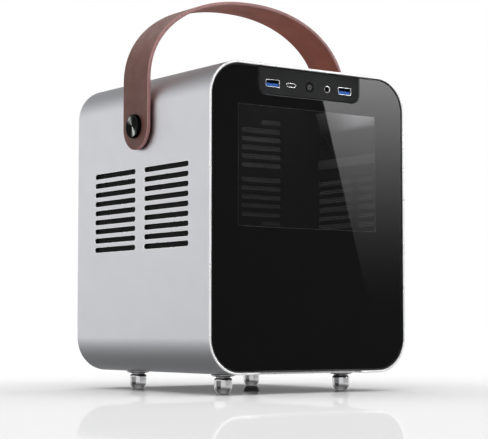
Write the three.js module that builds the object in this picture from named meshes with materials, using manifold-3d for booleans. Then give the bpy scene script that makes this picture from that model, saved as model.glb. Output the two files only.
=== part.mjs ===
// A compact desktop computer tower.
//
// A wrap-round aluminium shell stands on four turned feet and is carried by a leather strap.
// A tinted glass front pulls straight off its magnets. Behind it are the front port plate,
// a small main board on a tray, a power supply under the tray, and an exhaust fan at the back.
//
// Millimetres, +Z up. The front faces -Y. The origin is on the floor, under the shell's centre.

import * as THREE from "three";
import { mergeVertices } from "three/addons/utils/BufferGeometryUtils.js";
import Module from "manifold-3d";

const wasm = await Module();
wasm.setup();

// ---- Driving dimensions ---------------------------------------------------------------------

const WIDTH = 186; // shell, left to right
const DEPTH = 191; // shell, front to back
const HEIGHT = 230; // shell, without its feet
const FOOT_HEIGHT = 14.5;
const CORNER = 27; // outer radius of the shell's four long edges
const WALL = 1.8; // shell sheet thickness
const FIT = 0.3; // gap between pieces that rest on each other
const LOOSE = 0.5; // gap round the glass

const SLOT = { height: 4, pitch: 7.34, rows: 9, lowest: 110.6 };
// Front and rear ends of each column of slots, for the left wall and for the right wall.
const SLOT_COLUMNS = {
  left: [[-67.6, -6.4], [6.4, 67.6]],
  right: [[-67.6, -37.3], [-30.4, 30.4], [37.3, 67.6]],
};
const NOTCH = { halfWidth: 48.5, depth: 8 }; // finger notch under the glass

const GLASS = { recess: 1.2, thick: 4 };
const PORT_PLATE = { halfWidth: 48, low: 221.7, corner: 7, recess: 2.1, thick: 3.2 };
const PORT_HEIGHT = 230.5; // centre line of the front sockets
const PORT_PITCH = 17.25;
const WINDOW = { halfWidth: 67, low: 121, high: 215.6 };

const PIVOT_HEIGHT = 203.2; // strap screws
const STRAP = { width: 36, thick: 2.8, outer: 97.2, archStart: 238, top: 308, power: 2.15 };
const STRAP_HOLE = 4.3;

const FOOT_X = 56.3;
const FOOT_Y = 60;

const BOSS = { radius: 5, hole: 1.6, fromCorner: 21 }; // screw channels in the shell's corners

const BOARD = { x0: -83.5, x1: 86.5, y0: -82, y1: 88, z0: 68.8, thick: 1.6 };
const TRAY = { z0: 60.5, thick: 1.5, halfWidth: 89, y0: -81 };
const SUPPLY = { halfWidth: 40.75, y0: -60.3, z0: 17.5, height: 40.5, wall: 1 };
const COOLER = { x: 8, y: 20, size: 92 };
const EXHAUST = { x: 20, z: 176, size: 92, thick: 25 };
const DIMM_X = [66, 76];
const DRIVE_PLATE = { y0: 8, thick: 1.5, halfWidth: 88.5, low: 118, high: 236 };
const PLATE_VENT = { x: 52, z: 175.6 }; // centre of the plate's vent

// ---- Values worked out from them ------------------------------------------------------------

const HALF_W = WIDTH / 2;
const HALF_D = DEPTH / 2;
const SHELL_LOW = FOOT_HEIGHT;
const SHELL_HIGH = FOOT_HEIGHT + HEIGHT;
const MIDDLE_HEIGHT = (SHELL_LOW + SHELL_HIGH) / 2;
const INNER_W = HALF_W - WALL;
const INNER_LOW = SHELL_LOW + WALL;
const INNER_HIGH = SHELL_HIGH - WALL;
const INNER_CORNER = CORNER - WALL;

const GLASS_FRONT = -HALF_D + GLASS.recess;
const GLASS_BACK = GLASS_FRONT + GLASS.thick;
const PLATE_FRONT = -HALF_D + PORT_PLATE.recess;
const PLATE_BACK = PLATE_FRONT + PORT_PLATE.thick;
const FRAME_FRONT = GLASS_BACK + 0.4;
const FRAME_BACK = FRAME_FRONT + 2;
const REAR_FACE = HALF_D - 4; // outer face of the back panel
const REAR_INNER = REAR_FACE - 1.2;
const BOARD_TOP = BOARD.z0 + BOARD.thick;
const ON_BOARD = BOARD_TOP + 0.2;
const SUPPLY_HIGH = SUPPLY.z0 + SUPPLY.height;
const SUPPLY_BACK = REAR_INNER - FIT;
const SUPPLY_MIDDLE = SUPPLY.z0 + SUPPLY.height / 2;

// ---- Materials ------------------------------------------------------------------------------

function material(color, roughness, metalness) {
  return new THREE.MeshStandardMaterial({ color, roughness, metalness });
}

const ALUMINIUM = material(0xc9cbce, 0.42, 0.9);
const CHROME = material(0xd8d8d8, 0.12, 1);
const STEEL = material(0xb4b6b8, 0.35, 0.9);
const BLACK_STEEL = material(0x1a1a1b, 0.5, 0.4);
const BLACK_PLASTIC = material(0x161617, 0.55, 0);
const DARK_METAL = material(0x111111, 0.25, 1);
const GLASS_TINT = material(0x0c0c0d, 0.05, 0);
const LEATHER = material(0x70493f, 0.6, 0);
const BLUE_PLASTIC = material(0x2f6fc8, 0.45, 0);
const CIRCUIT = material(0x12261c, 0.5, 0);
const FIN_METAL = material(0xa8abae, 0.4, 0.9);
const CABLE = material(0x141414, 0.7, 0);

// ---- Solids ---------------------------------------------------------------------------------

// A closed three.js geometry as a manifold-3d solid.
function solid(geometry) {
  const positions = geometry.index ? geometry.toNonIndexed() : geometry.clone();
  positions.deleteAttribute("normal");
  positions.deleteAttribute("uv");
  const merged = mergeVertices(positions, 1e-4);
  return new wasm.Manifold(
    new wasm.Mesh({
      numProp: 3,
      vertProperties: new Float32Array(merged.attributes.position.array),
      triVerts: new Uint32Array(merged.index.array),
    }),
  );
}

// A manifold-3d solid as a three.js geometry.
function geometryOf(made) {
  const mesh = made.getMesh();
  const geometry = new THREE.BufferGeometry();
  geometry.setAttribute("position", new THREE.BufferAttribute(mesh.vertProperties, 3));
  geometry.setIndex(new THREE.BufferAttribute(mesh.triVerts, 1));
  geometry.computeVertexNormals();
  return geometry;
}

const AXIS_X = new THREE.Vector3(1, 0, 0);
const AXIS_Y = new THREE.Vector3(0, 1, 0);
const AXIS_Z = new THREE.Vector3(0, 0, 1);

// A shape pushed along an axis. Its two coordinates are (y, z) for X, (x, z) for Y, (x, y) for Z.
function extrude(shape, axis, from, to, curveSegments = 4) {
  const depth = to - from;
  const geometry = new THREE.ExtrudeGeometry(shape, { depth, bevelEnabled: false, curveSegments });
  if (axis === "x") {
    geometry.applyMatrix4(new THREE.Matrix4().makeBasis(AXIS_Y, AXIS_Z, AXIS_X));
    geometry.translate(from, 0, 0);
  } else if (axis === "y") {
    const back = AXIS_Y.clone().negate();
    geometry.applyMatrix4(new THREE.Matrix4().makeBasis(AXIS_X, AXIS_Z, back));
    geometry.translate(0, to, 0);
  } else {
    geometry.translate(0, 0, from);
  }
  return solid(geometry);
}

function block(x0, x1, y0, y1, z0, z1) {
  const geometry = new THREE.BoxGeometry(x1 - x0, y1 - y0, z1 - z0);
  geometry.translate((x0 + x1) / 2, (y0 + y1) / 2, (z0 + z1) / 2);
  return solid(geometry);
}

// A round bar along an axis, through the point (a, b) of the other two coordinates.
function bar(axis, radius, from, to, a, b, sides = 20) {
  const geometry = new THREE.CylinderGeometry(radius, radius, to - from, sides);
  const middle = (from + to) / 2;
  if (axis === "x") {
    geometry.rotateZ(-Math.PI / 2);
    geometry.translate(middle, a, b);
  } else if (axis === "y") {
    geometry.translate(a, middle, b);
  } else {
    geometry.rotateX(Math.PI / 2);
    geometry.translate(a, b, middle);
  }
  return solid(geometry);
}

function joined(solids) {
  return wasm.Manifold.union(solids);
}

// ---- Outlines -------------------------------------------------------------------------------

// A rectangle with its four corners rounded to the given radii: low left, low right, high right,
// high left. A radius of 0 leaves a square corner.
function rounded(x0, x1, y0, y1, radii) {
  const [ll, lr, hr, hl] = Array.isArray(radii) ? radii : [radii, radii, radii, radii];
  const shape = new THREE.Shape();
  const corner = (x, y, radius, start) => {
    if (radius > 0) shape.absarc(x, y, radius, start, start + Math.PI / 2, false);
    else shape.lineTo(x, y);
  };
  shape.moveTo(x0 + ll, y0);
  corner(x1 - lr, y0 + lr, lr, -Math.PI / 2);
  corner(x1 - hr, y1 - hr, hr, 0);
  corner(x0 + hl, y1 - hl, hl, Math.PI / 2);
  corner(x0 + ll, y0 + ll, ll, Math.PI);
  return shape;
}

function circle(x, y, radius) {
  const shape = new THREE.Shape();
  shape.absarc(x, y, radius, 0, 2 * Math.PI, false);
  return shape;
}

// A long hole with round ends, from a0 to a1, centred at the height b.
function stadium(a0, a1, b, height) {
  const radius = height / 2;
  const shape = new THREE.Shape();
  shape.moveTo(a0 + radius, b - radius);
  shape.absarc(a1 - radius, b, radius, -Math.PI / 2, Math.PI / 2, false);
  shape.absarc(a0 + radius, b, radius, Math.PI / 2, 1.5 * Math.PI, false);
  return shape;
}

// The shell's cross-section, moved in by a distance.
function shellOutline(inset) {
  return rounded(
    -HALF_W + inset,
    HALF_W - inset,
    SHELL_LOW + inset,
    SHELL_HIGH - inset,
    CORNER - inset,
  );
}

// ---- Assembly -------------------------------------------------------------------------------

const tower = new THREE.Group();

function add(name, made, finish, at = [0, 0, 0], parent = tower) {
  const mesh = new THREE.Mesh(geometryOf(made), finish);
  mesh.name = name;
  mesh.position.set(...at);
  parent.add(mesh);
  return mesh;
}

// ---- Shell ----------------------------------------------------------------------------------

// The centres of the four screw channels, 45 degrees round each inner corner.
const CHANNELS = [];
for (const side of [-1, 1]) {
  for (const end of [-1, 1]) {
    const reach = BOSS.fromCorner * Math.SQRT1_2;
    const x = side * (HALF_W - CORNER + reach);
    const z = MIDDLE_HEIGHT + end * (HEIGHT / 2 - CORNER + reach);
    CHANNELS.push([x, z]);
  }
}

// Nine rows of long holes in each side wall: two columns on the left, three on the right.
function sideSlots() {
  const cutters = [];
  for (const [side, x0, x1] of [["left", -100, -80], ["right", 80, 100]]) {
    for (const [near, far] of SLOT_COLUMNS[side]) {
      for (let row = 0; row < SLOT.rows; row++) {
        const z = SLOT.lowest + row * SLOT.pitch;
        cutters.push(extrude(stadium(near, far, z, SLOT.height), "x", x0, x1, 2));
      }
    }
  }
  return joined(cutters);
}

function outerShell() {
  const outline = shellOutline(0);
  outline.holes.push(shellOutline(WALL));
  const tube = extrude(outline, "y", -HALF_D, HALF_D);
  const inside = extrude(shellOutline(WALL / 2), "y", -HALF_D, HALF_D);
  const channels = CHANNELS.map(([x, z]) =>
    bar("y", BOSS.radius, FRAME_BACK + FIT, REAR_INNER - FIT, x, z, 16).intersect(inside),
  );
  const notch = block(-NOTCH.halfWidth, NOTCH.halfWidth, -100, -HALF_D + NOTCH.depth, 0, INNER_LOW + 1);
  const feetHoles = [];
  for (const x of [-FOOT_X, FOOT_X]) {
    for (const y of [-FOOT_Y, FOOT_Y]) {
      feetHoles.push(bar("z", 2.7, SHELL_LOW - 1, INNER_LOW + 1, x, y, 12));
    }
  }
  const screwHoles = CHANNELS.map(([x, z]) => bar("y", BOSS.hole, -100, 100, x, z, 10));
  return joined([tube, ...channels])
    .subtract(sideSlots())
    .subtract(notch)
    .subtract(bar("x", 3.2, -100, 100, 0, PIVOT_HEIGHT, 16))
    .subtract(joined([...feetHoles, ...screwHoles]));
}

add("outer_shell", outerShell(), ALUMINIUM);

// ---- Feet -----------------------------------------------------------------------------------

// A turned foot with a flared flange, a straight waist, a tapered toe and a threaded stud.
function foot() {
  const high = FOOT_HEIGHT - 0.1;
  const profile = [
    [0, 0],
    [3.9, 0],
    [4.3, 0.4],
    [6.6, 4.2],
    [6.6, 10.4],
    [9.2, 13.4],
    [9.2, high],
    [2.4, high],
    [2.4, high + 5.5],
    [0, high + 5.5],
  ];
  const points = profile.map(([radius, z]) => new THREE.Vector2(radius, z));
  const geometry = new THREE.LatheGeometry(points, 16);
  geometry.rotateX(Math.PI / 2);
  return solid(geometry);
}

for (const [end, y] of [["front", -FOOT_Y], ["rear", FOOT_Y]]) {
  add(`foot_${end}_left`, foot(), CHROME, [-FOOT_X, y, 0]);
  add(`foot_${end}_right`, foot(), CHROME, [FOOT_X, y, 0]);
}

// ---- Carrying strap -------------------------------------------------------------------------

// Half of the strap's arch, from the apex down to the left end, at a distance inside its outer face.
function archPoints(inset) {
  const half = STRAP.outer - inset;
  const rise = STRAP.top - STRAP.archStart - inset;
  const steps = 14;
  const points = [];
  for (let i = 0; i < steps; i++) {
    const angle = (Math.PI / 2) * (i / steps);
    const x = half * Math.sin(angle) ** (2 / STRAP.power);
    const z = STRAP.archStart + rise * Math.cos(angle) ** (2 / STRAP.power);
    points.push([x, z]);
  }
  points.push([half, STRAP.archStart]);
  points.push([half, PIVOT_HEIGHT - STRAP.width / 2 - 1]);
  return points;
}

function carryingStrap() {
  const outer = archPoints(0);
  const inner = archPoints(STRAP.thick);
  const mirrored = (points) => points.slice(1).map(([x, z]) => [-x, z]).reverse();
  const loop = [...mirrored(outer), ...outer, ...[...inner].reverse(), ...mirrored(inner).reverse()];
  const band = extrude(
    new THREE.Shape(loop.map(([x, z]) => new THREE.Vector2(x, z))),
    "y",
    -STRAP.width / 2,
    STRAP.width / 2,
  );
  const half = STRAP.width / 2;
  const ends = rounded(-half, half, PIVOT_HEIGHT - half, STRAP.top + 5, [half, half, 0, 0]);
  return band
    .intersect(extrude(ends, "x", -120, 120, 5))
    .subtract(bar("x", STRAP_HOLE, -120, 120, 0, PIVOT_HEIGHT, 20));
}

add("handle_strap", carryingStrap(), LEATHER);

// A screw with a broad flat head, a shoulder through the strap and a thread through the shell.
function handleScrew(side) {
  const along = (near, far) => (side < 0 ? [-far, -near] : [near, far]);
  const face = STRAP.outer + 0.2;
  return joined([
    bar("x", 9.25, ...along(face, face + 3), 0, PIVOT_HEIGHT, 28),
    bar("x", 4, ...along(HALF_W + 0.2, face + 1), 0, PIVOT_HEIGHT, 16),
    bar("x", 2.9, ...along(INNER_W - 6, HALF_W + 1), 0, PIVOT_HEIGHT, 12),
  ]);
}

function handleNut(side) {
  const [from, to] = side < 0 ? [-INNER_W + 0.2, -INNER_W + 4.2] : [INNER_W - 4.2, INNER_W - 0.2];
  const hexagon = bar("x", 5.8, from, to, 0, PIVOT_HEIGHT, 6);
  return hexagon.subtract(bar("x", 3.1, from - 1, to + 1, 0, PIVOT_HEIGHT, 16));
}

for (const [name, side] of [["left", -1], ["right", 1]]) {
  add(`handle_screw_${name}`, handleScrew(side), DARK_METAL);
  add(`handle_nut_${name}`, handleNut(side), STEEL);
}

// ---- Glass front ----------------------------------------------------------------------------

function frontGlass() {
  const pane = extrude(shellOutline(WALL + LOOSE), "y", GLASS_FRONT, GLASS_BACK);
  const { halfWidth, low, corner } = PORT_PLATE;
  const bay = rounded(-halfWidth, halfWidth, low, SHELL_HIGH, [corner, corner, 0, 0]);
  return pane.subtract(extrude(bay, "y", GLASS_FRONT - 1, GLASS_BACK + 1, 3));
}

add("front_glass", frontGlass(), GLASS_TINT);

// The steel frame that the glass closes against, open behind the window and the ports, with the
// two magnets that hold the glass fixed to its back.
function frontFrame() {
  const outline = shellOutline(WALL + 0.4);
  const { halfWidth, low, high } = WINDOW;
  outline.holes.push(rounded(-halfWidth, halfWidth, low, high, 4));
  outline.holes.push(rounded(-45, 45, 225, 236.2, 2));
  const magnets = [-1, 1].map((side) => {
    const middle = side * (halfWidth + 11);
    return block(middle - 4, middle + 4, FRAME_BACK - 0.5, FRAME_BACK + 3, 150, 186);
  });
  return joined([extrude(outline, "y", FRAME_FRONT, FRAME_BACK), ...magnets]);
}

add("front_frame", frontFrame(), BLACK_STEEL);

// ---- Front ports ----------------------------------------------------------------------------

const PORT_X = {
  usb_left: -2 * PORT_PITCH,
  usb_c: -PORT_PITCH,
  button: 0,
  jack: PORT_PITCH,
  usb_right: 2 * PORT_PITCH,
};
const USB_A = { halfWidth: 6.55, halfHeight: 2.85, wall: 0.4, depth: 14 };
const USB_C = { halfWidth: 4.47, halfHeight: 1.63, wall: 0.35 };
const JACK_RADIUS = 3;
const BUTTON_RADIUS = 3.6;
const PORT_BOARD = { z0: 226, z1: 227.4 };
const PORT_FACE = PLATE_FRONT + 0.4; // front ends of the sockets

function centred(x, z, halfWidth, halfHeight, radius) {
  return rounded(x - halfWidth, x + halfWidth, z - halfHeight, z + halfHeight, radius);
}

function portPlate() {
  const { halfWidth, low, corner } = PORT_PLATE;
  const edge = 0.4;
  const shape = rounded(
    -halfWidth + edge,
    halfWidth - edge,
    low + edge,
    INNER_HIGH - LOOSE,
    [corner - edge, corner - edge, 0, 0],
  );
  for (const x of [PORT_X.usb_left, PORT_X.usb_right]) {
    shape.holes.push(centred(x, PORT_HEIGHT, USB_A.halfWidth + FIT, USB_A.halfHeight + FIT, 0.5));
  }
  const c = USB_C;
  shape.holes.push(centred(PORT_X.usb_c, PORT_HEIGHT, c.halfWidth + FIT, c.halfHeight + FIT, 1.7));
  shape.holes.push(circle(PORT_X.button, PORT_HEIGHT, BUTTON_RADIUS + FIT));
  shape.holes.push(circle(PORT_X.jack, PORT_HEIGHT, JACK_RADIUS + FIT));
  return extrude(shape, "y", PLATE_FRONT, PLATE_BACK, 8);
}

add("port_plate", portPlate(), BLACK_PLASTIC);
add("port_board", block(-43, 43, -88, -68, PORT_BOARD.z0, PORT_BOARD.z1), CIRCUIT);

// A folded metal socket shell, open at the front.
function usbShell(x) {
  const { halfWidth, halfHeight, wall, depth } = USB_A;
  const outer = extrude(
    centred(x, PORT_HEIGHT, halfWidth, halfHeight, 0.4),
    "y",
    PORT_FACE,
    PORT_FACE + depth,
    1,
  );
  const inner = block(
    x - halfWidth + wall,
    x + halfWidth - wall,
    PORT_FACE - 1,
    PORT_FACE + depth - 1.5,
    PORT_HEIGHT - halfHeight + wall,
    PORT_HEIGHT + halfHeight - wall,
  );
  return outer.subtract(inner);
}

// The blue contact tongue in the lower half of the socket.
function usbTongue(x) {
  const back = PORT_FACE + USB_A.depth - 1.7;
  return block(x - 5.6, x + 5.6, PORT_FACE + 1, back, PORT_HEIGHT - 1.95, PORT_HEIGHT - 0.1);
}

for (const side of ["left", "right"]) {
  const x = PORT_X[`usb_${side}`];
  add(`usb_shell_${side}`, usbShell(x), STEEL);
  add(`usb_tongue_${side}`, usbTongue(x), BLUE_PLASTIC);
}

function usbC() {
  const { halfWidth, halfHeight, wall } = USB_C;
  const x = PORT_X.usb_c;
  const outline = centred(x, PORT_HEIGHT, halfWidth, halfHeight, 1.55);
  const bore = centred(x, PORT_HEIGHT, halfWidth - wall, halfHeight - wall, 1.2);
  const barrel = extrude(outline, "y", PORT_FACE, PORT_FACE + 8, 2);
  const hollow = extrude(bore, "y", PORT_FACE - 1, PORT_FACE + 6.5, 2);
  const z = PORT_HEIGHT;
  const tongue = block(x - 3.3, x + 3.3, PORT_FACE + 1, PORT_FACE + 7, z - 0.35, z + 0.35);
  const foot = block(x - 4.5, x + 4.5, PORT_FACE + 4.6, PORT_FACE + 8, PORT_BOARD.z1 + 0.1, z - 1);
  return joined([barrel.subtract(hollow), tongue, foot]);
}

add("usb_c_socket", usbC(), STEEL);

function audioJack() {
  const x = PORT_X.jack;
  const body = block(x - 3.2, x + 3.2, -89, -77, PORT_BOARD.z1 + 0.1, PORT_HEIGHT + 3.1);
  const barrel = bar("y", JACK_RADIUS, PORT_FACE, -88, x, PORT_HEIGHT, 20);
  const bore = bar("y", 1.75, PORT_FACE - 1, -79, x, PORT_HEIGHT, 16);
  return joined([body, barrel]).subtract(bore);
}

add("audio_jack", audioJack(), STEEL);

const BUTTON = { front: PLATE_FRONT - 0.3, skirt: -89.4, stem: -86.4, travel: 0.8 };
const SWITCH_FACE = BUTTON.stem + BUTTON.travel + 0.3;

function powerButton() {
  return joined([
    bar("y", BUTTON_RADIUS, BUTTON.front, BUTTON.skirt, PORT_X.button, PORT_HEIGHT, 28),
    bar("y", 1.4, BUTTON.skirt - 1, BUTTON.stem, PORT_X.button, PORT_HEIGHT, 12),
  ]);
}

function powerSwitch() {
  const x = PORT_X.button;
  const low = PORT_BOARD.z1 + 0.1;
  const body = block(x - 3, x + 3, SWITCH_FACE + 0.5, SWITCH_FACE + 4, low, PORT_HEIGHT + 3);
  return joined([body, bar("y", 1.6, SWITCH_FACE, SWITCH_FACE + 1, x, PORT_HEIGHT, 12)]);
}

add("power_button", powerButton(), BLACK_PLASTIC);
add("power_switch", powerSwitch(), BLACK_PLASTIC);

// ---- Fans -----------------------------------------------------------------------------------

// A square fan frame about the Z axis, from z = 0 up: a ring, four struts and a motor seat.
function fanFrame(size, thick, hub) {
  const half = size / 2;
  const bore = half - 2;
  const plate = extrude(rounded(-half, half, -half, half, size / 20), "z", 0, thick, 1);
  const cuts = [bar("z", bore, -1, thick + 1, 0, 0, 32)];
  const holeAt = half - size * 0.052;
  for (const x of [-holeAt, holeAt]) {
    for (const y of [-holeAt, holeAt]) cuts.push(bar("z", size * 0.022, -1, thick + 1, x, y, 8));
  }
  const ring = plate.subtract(joined(cuts));
  const seat = bar("z", hub, 0, 2, 0, 0, 20);
  const strut = size * 0.022;
  const struts = [0, 1].map((turn) =>
    block(-bore - 0.5, bore + 0.5, -strut, strut, 0, 2).rotate([0, 0, 45 + 90 * turn]),
  );
  return joined([ring, seat, ...struts]);
}

// The impeller for that frame: a hub cap with swept blades.
function fanRotor(size, thick, hub, blades) {
  const reach = size / 2 - 3.2;
  const low = 2.4;
  const high = thick - 0.8;
  const cap = bar("z", hub, low, high, 0, 0, 20);
  const room = bar("z", reach, low, high, 0, 0, 36);
  const made = [cap];
  for (let i = 0; i < blades; i++) {
    const blade = block(hub - 2, reach + 2, -0.7, 0.7, -thick, 2 * thick)
      .translate([0, 0, -thick / 2])
      .rotate([38, 0, 0])
      .translate([0, 0, thick / 2])
      .rotate([0, 0, (360 / blades) * i]);
    made.push(blade.intersect(room));
  }
  return joined(made);
}

function addFan(prefix, size, thick, hub, blades, place) {
  const group = new THREE.Group();
  place(group);
  tower.add(group);
  add(`${prefix}_frame`, fanFrame(size, thick, hub), BLACK_PLASTIC, [0, 0, 0], group);
  add(`${prefix}_rotor`, fanRotor(size, thick, hub, blades), BLACK_PLASTIC, [0, 0, 0], group);
}

const QUARTER = Math.PI / 2;

// The exhaust fan stands against the back panel with its struts to the back.
addFan("exhaust_fan", EXHAUST.size, EXHAUST.thick, 19, 9, (group) => {
  group.rotation.x = QUARTER;
  group.position.set(EXHAUST.x, REAR_INNER - FIT, EXHAUST.z);
});

// ---- Back panel -----------------------------------------------------------------------------

const IO_OPENING = { x0: -70.2, x1: 88.55, z0: 66.6, z1: 111.05 };
const CARD_OPENING = { x0: -87.6, x1: -73.4, z0: 78, z1: 178 };
const VENT = { rows: 6, pitch: 7.1, first: 5.9, height: 4.2, inner: 3.5, outer: 44, short: 24 };

// The vent behind a fan: two columns of slots about (x, z), shorter at the corners.
function ventSlots(x, z, sides) {
  const slots = [];
  for (const side of sides) {
    for (const up of [-1, 1]) {
      for (let row = 0; row < VENT.rows; row++) {
        const reach = row === VENT.rows - 1 ? VENT.short : VENT.outer;
        const [near, far] = side < 0 ? [x - reach, x - VENT.inner] : [x + VENT.inner, x + reach];
        slots.push(stadium(near, far, z + up * (VENT.first + row * VENT.pitch), VENT.height));
      }
    }
  }
  return slots;
}

function rearPanel() {
  const outline = shellOutline(WALL + 0.4);
  const io = IO_OPENING;
  const card = CARD_OPENING;
  outline.holes.push(rounded(io.x0, io.x1, io.z0, io.z1, 0));
  outline.holes.push(rounded(card.x0, card.x1, card.z0, card.z1, 1));
  outline.holes.push(rounded(-38.5, 38.5, SUPPLY.z0 + 2, SUPPLY_HIGH - 2, 2));
  for (const [x, z] of CHANNELS) outline.holes.push(circle(x, z, 2.3));
  outline.holes.push(...ventSlots(EXHAUST.x, EXHAUST.z, [-1, 1]));
  return extrude(outline, "y", REAR_INNER, REAR_FACE, 2);
}

add("rear_panel", rearPanel(), BLACK_STEEL);

CHANNELS.forEach(([x, z], i) => {
  const screw = joined([
    bar("y", 3.2, REAR_FACE + 0.1, REAR_FACE + 2.1, x, z, 16),
    bar("y", 1.4, REAR_FACE - 10, REAR_FACE + 0.5, x, z, 10),
  ]);
  const socket = bar("y", 1.2, REAR_FACE + 1, REAR_FACE + 3, x, z, 6);
  add(`rear_screw_${i + 1}`, screw.subtract(socket), DARK_METAL);
});

function slotCover() {
  const { x0, x1, z0, z1 } = CARD_OPENING;
  const back = REAR_INNER - 0.2;
  const plate = extrude(rounded(x0 - 1.6, x1 + 2, z0 - 5, z1 + 9, 1), "y", back - 0.9, back, 1);
  const tab = block(x0 - 1.6, x1 + 2, back - 9, back, z1 + 8, z1 + 9);
  return joined([plate, tab]);
}

add("slot_cover", slotCover(), STEEL);

// ---- Main board and tray --------------------------------------------------------------------

const STANDOFFS = [
  [BOARD.x0 + 6, BOARD.y0 + 8],
  [BOARD.x1 - 6, BOARD.y0 + 8],
  [BOARD.x0 + 6, BOARD.y1 - 10],
  [BOARD.x1 - 6, BOARD.y1 - 10],
];

function boardTray() {
  const { z0, thick, halfWidth, y0 } = TRAY;
  const plate = rounded(-halfWidth, halfWidth, y0, REAR_INNER - FIT, 3);
  plate.holes.push(rounded(-28, 44, -18, 58, 6));
  const flanges = [-1, 1].map((side) => {
    const edge = side * (halfWidth - 0.75);
    return block(edge - 0.75, edge + 0.75, y0 + 5, 80, z0 - 9, z0 + 0.5);
  });
  const posts = STANDOFFS.map(([x, y]) => bar("z", 2.6, z0 + 1, BOARD.z0 - 0.1, x, y, 12));
  return joined([extrude(plate, "z", z0, z0 + thick, 2), ...flanges, ...posts]);
}

function mainBoard() {
  const outline = rounded(BOARD.x0, BOARD.x1, BOARD.y0, BOARD.y1, 1);
  for (const [x, y] of STANDOFFS) outline.holes.push(circle(x, y, 1.6));
  return extrude(outline, "z", BOARD.z0, BOARD_TOP, 2);
}

add("board_tray", boardTray(), BLACK_STEEL);
add("main_board", mainBoard(), CIRCUIT);

const CPU_TOP = ON_BOARD + 7.2;

function cpuBlock() {
  const socket = block(COOLER.x - 20, COOLER.x + 20, COOLER.y - 20, COOLER.y + 20, ON_BOARD, CPU_TOP - 3);
  const lid = block(COOLER.x - 15, COOLER.x + 15, COOLER.y - 15, COOLER.y + 15, CPU_TOP - 3.5, CPU_TOP);
  return joined([socket, lid]);
}

add("cpu", cpuBlock(), STEEL);

const FIN_LOW = CPU_TOP + 4;
const FIN_HIGH = 100;

function heatsink() {
  const half = COOLER.size / 2;
  const { x, y } = COOLER;
  const base = block(x - 24, x + 24, y - 24, y + 24, CPU_TOP + 0.2, FIN_LOW + 1);
  const deck = block(x - half, x + half, y - half + 10, y + half - 10, FIN_LOW, FIN_LOW + 2.4);
  const fins = [];
  const count = 17;
  for (let i = 0; i < count; i++) {
    const at = x - half + 0.5 + (i * (COOLER.size - 1)) / (count - 1);
    fins.push(block(at - 0.4, at + 0.4, y - half, y + half, FIN_LOW + 1.4, FIN_HIGH));
  }
  return joined([base, deck, ...fins]);
}

add("cooler_heatsink", heatsink(), FIN_METAL);
addFan("cooler_fan", COOLER.size, 14, 18, 9, (group) => {
  group.position.set(COOLER.x, COOLER.y, FIN_HIGH + FIT);
});

const MODULE = { y0: -69.5, length: 133.35, high: 106 };
const SLOT_HIGH = ON_BOARD + 8.4;

DIMM_X.forEach((x, i) => {
  const y1 = MODULE.y0 + MODULE.length;
  const groove = block(x - 0.95, x + 0.95, MODULE.y0 - 2, y1 + 2, ON_BOARD + 3.6, SLOT_HIGH + 1);
  const slot = block(x - 3.3, x + 3.3, MODULE.y0 - 0.5, y1 + 4, ON_BOARD, SLOT_HIGH).subtract(groove);
  const module = joined([
    block(x - 0.6, x + 0.6, MODULE.y0, y1, ON_BOARD + 4, SLOT_HIGH + 2),
    block(x - 2.6, x + 2.6, MODULE.y0, y1, SLOT_HIGH + 0.3, MODULE.high),
  ]);
  const latch = joined([
    block(x - 2.8, x + 2.8, -75.6, -71.4, ON_BOARD + 0.8, 84),
    block(x - 2.8, x + 2.8, -77.4, -74, 82, 84),
  ]);
  add(`memory_slot_${i + 1}`, slot, BLACK_PLASTIC);
  add(`memory_module_${i + 1}`, module, DARK_METAL);
  add(`memory_latch_${i + 1}`, latch, BLACK_PLASTIC);
});

function cardSlot() {
  const body = block(-82, -74.5, -30, 59, ON_BOARD, ON_BOARD + 11.2);
  return body.subtract(block(-79.2, -77.3, -27, 56, ON_BOARD + 3, ON_BOARD + 12));
}

add("card_slot", cardSlot(), BLACK_PLASTIC);
add("m2_drive", block(-66, -44, -76, 4, ON_BOARD, ON_BOARD + 2.4), CIRCUIT);
add("power_socket", block(0, 52, -81, -71, ON_BOARD, ON_BOARD + 11.2), BLACK_PLASTIC);

// ---- Rear sockets and their shield ----------------------------------------------------------

const STACK_BACK = REAR_FACE - 0.1;

// Each stack's x range, height, and pockets as [x0, x1, z0, z1, depth] above the board.
const STACKS = {
  video_stack: { x0: -8, x1: 10, high: 19, pockets: [[-6, 8, 2.4, 7.2, 8], [-6.5, 8.5, 11.6, 16.6, 8]] },
  network_stack: {
    x0: 20,
    x1: 36.6,
    high: 30,
    pockets: [[22.2, 34.4, 1.6, 6.8, 9], [22.2, 34.4, 9, 14.2, 9], [22.2, 34.4, 17.8, 27.2, 11]],
  },
  usb_stack: {
    x0: 44,
    x1: 58.6,
    high: 16.4,
    pockets: [[45.2, 57.4, 1.6, 6.8, 9], [45.2, 57.4, 9.6, 14.8, 9]],
  },
  audio_stack: { x0: 68, x1: 81, high: 34, pockets: [] },
};

for (const [name, { x0, x1, high, pockets }] of Object.entries(STACKS)) {
  let body = block(x0, x1, STACK_BACK - 18, STACK_BACK, ON_BOARD, ON_BOARD + high);
  for (const [a, b, low, top, depth] of pockets) {
    const cut = block(a, b, STACK_BACK - depth, STACK_BACK + 1, ON_BOARD + low, ON_BOARD + top);
    body = body.subtract(cut);
  }
  if (name === "audio_stack") {
    const jacks = [6.5, 17, 27.5].map((z) =>
      bar("y", 1.9, STACK_BACK - 12, STACK_BACK + 1, (x0 + x1) / 2, ON_BOARD + z, 14),
    );
    body = body.subtract(joined(jacks));
  }
  add(name, body, STEEL);
}

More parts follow.
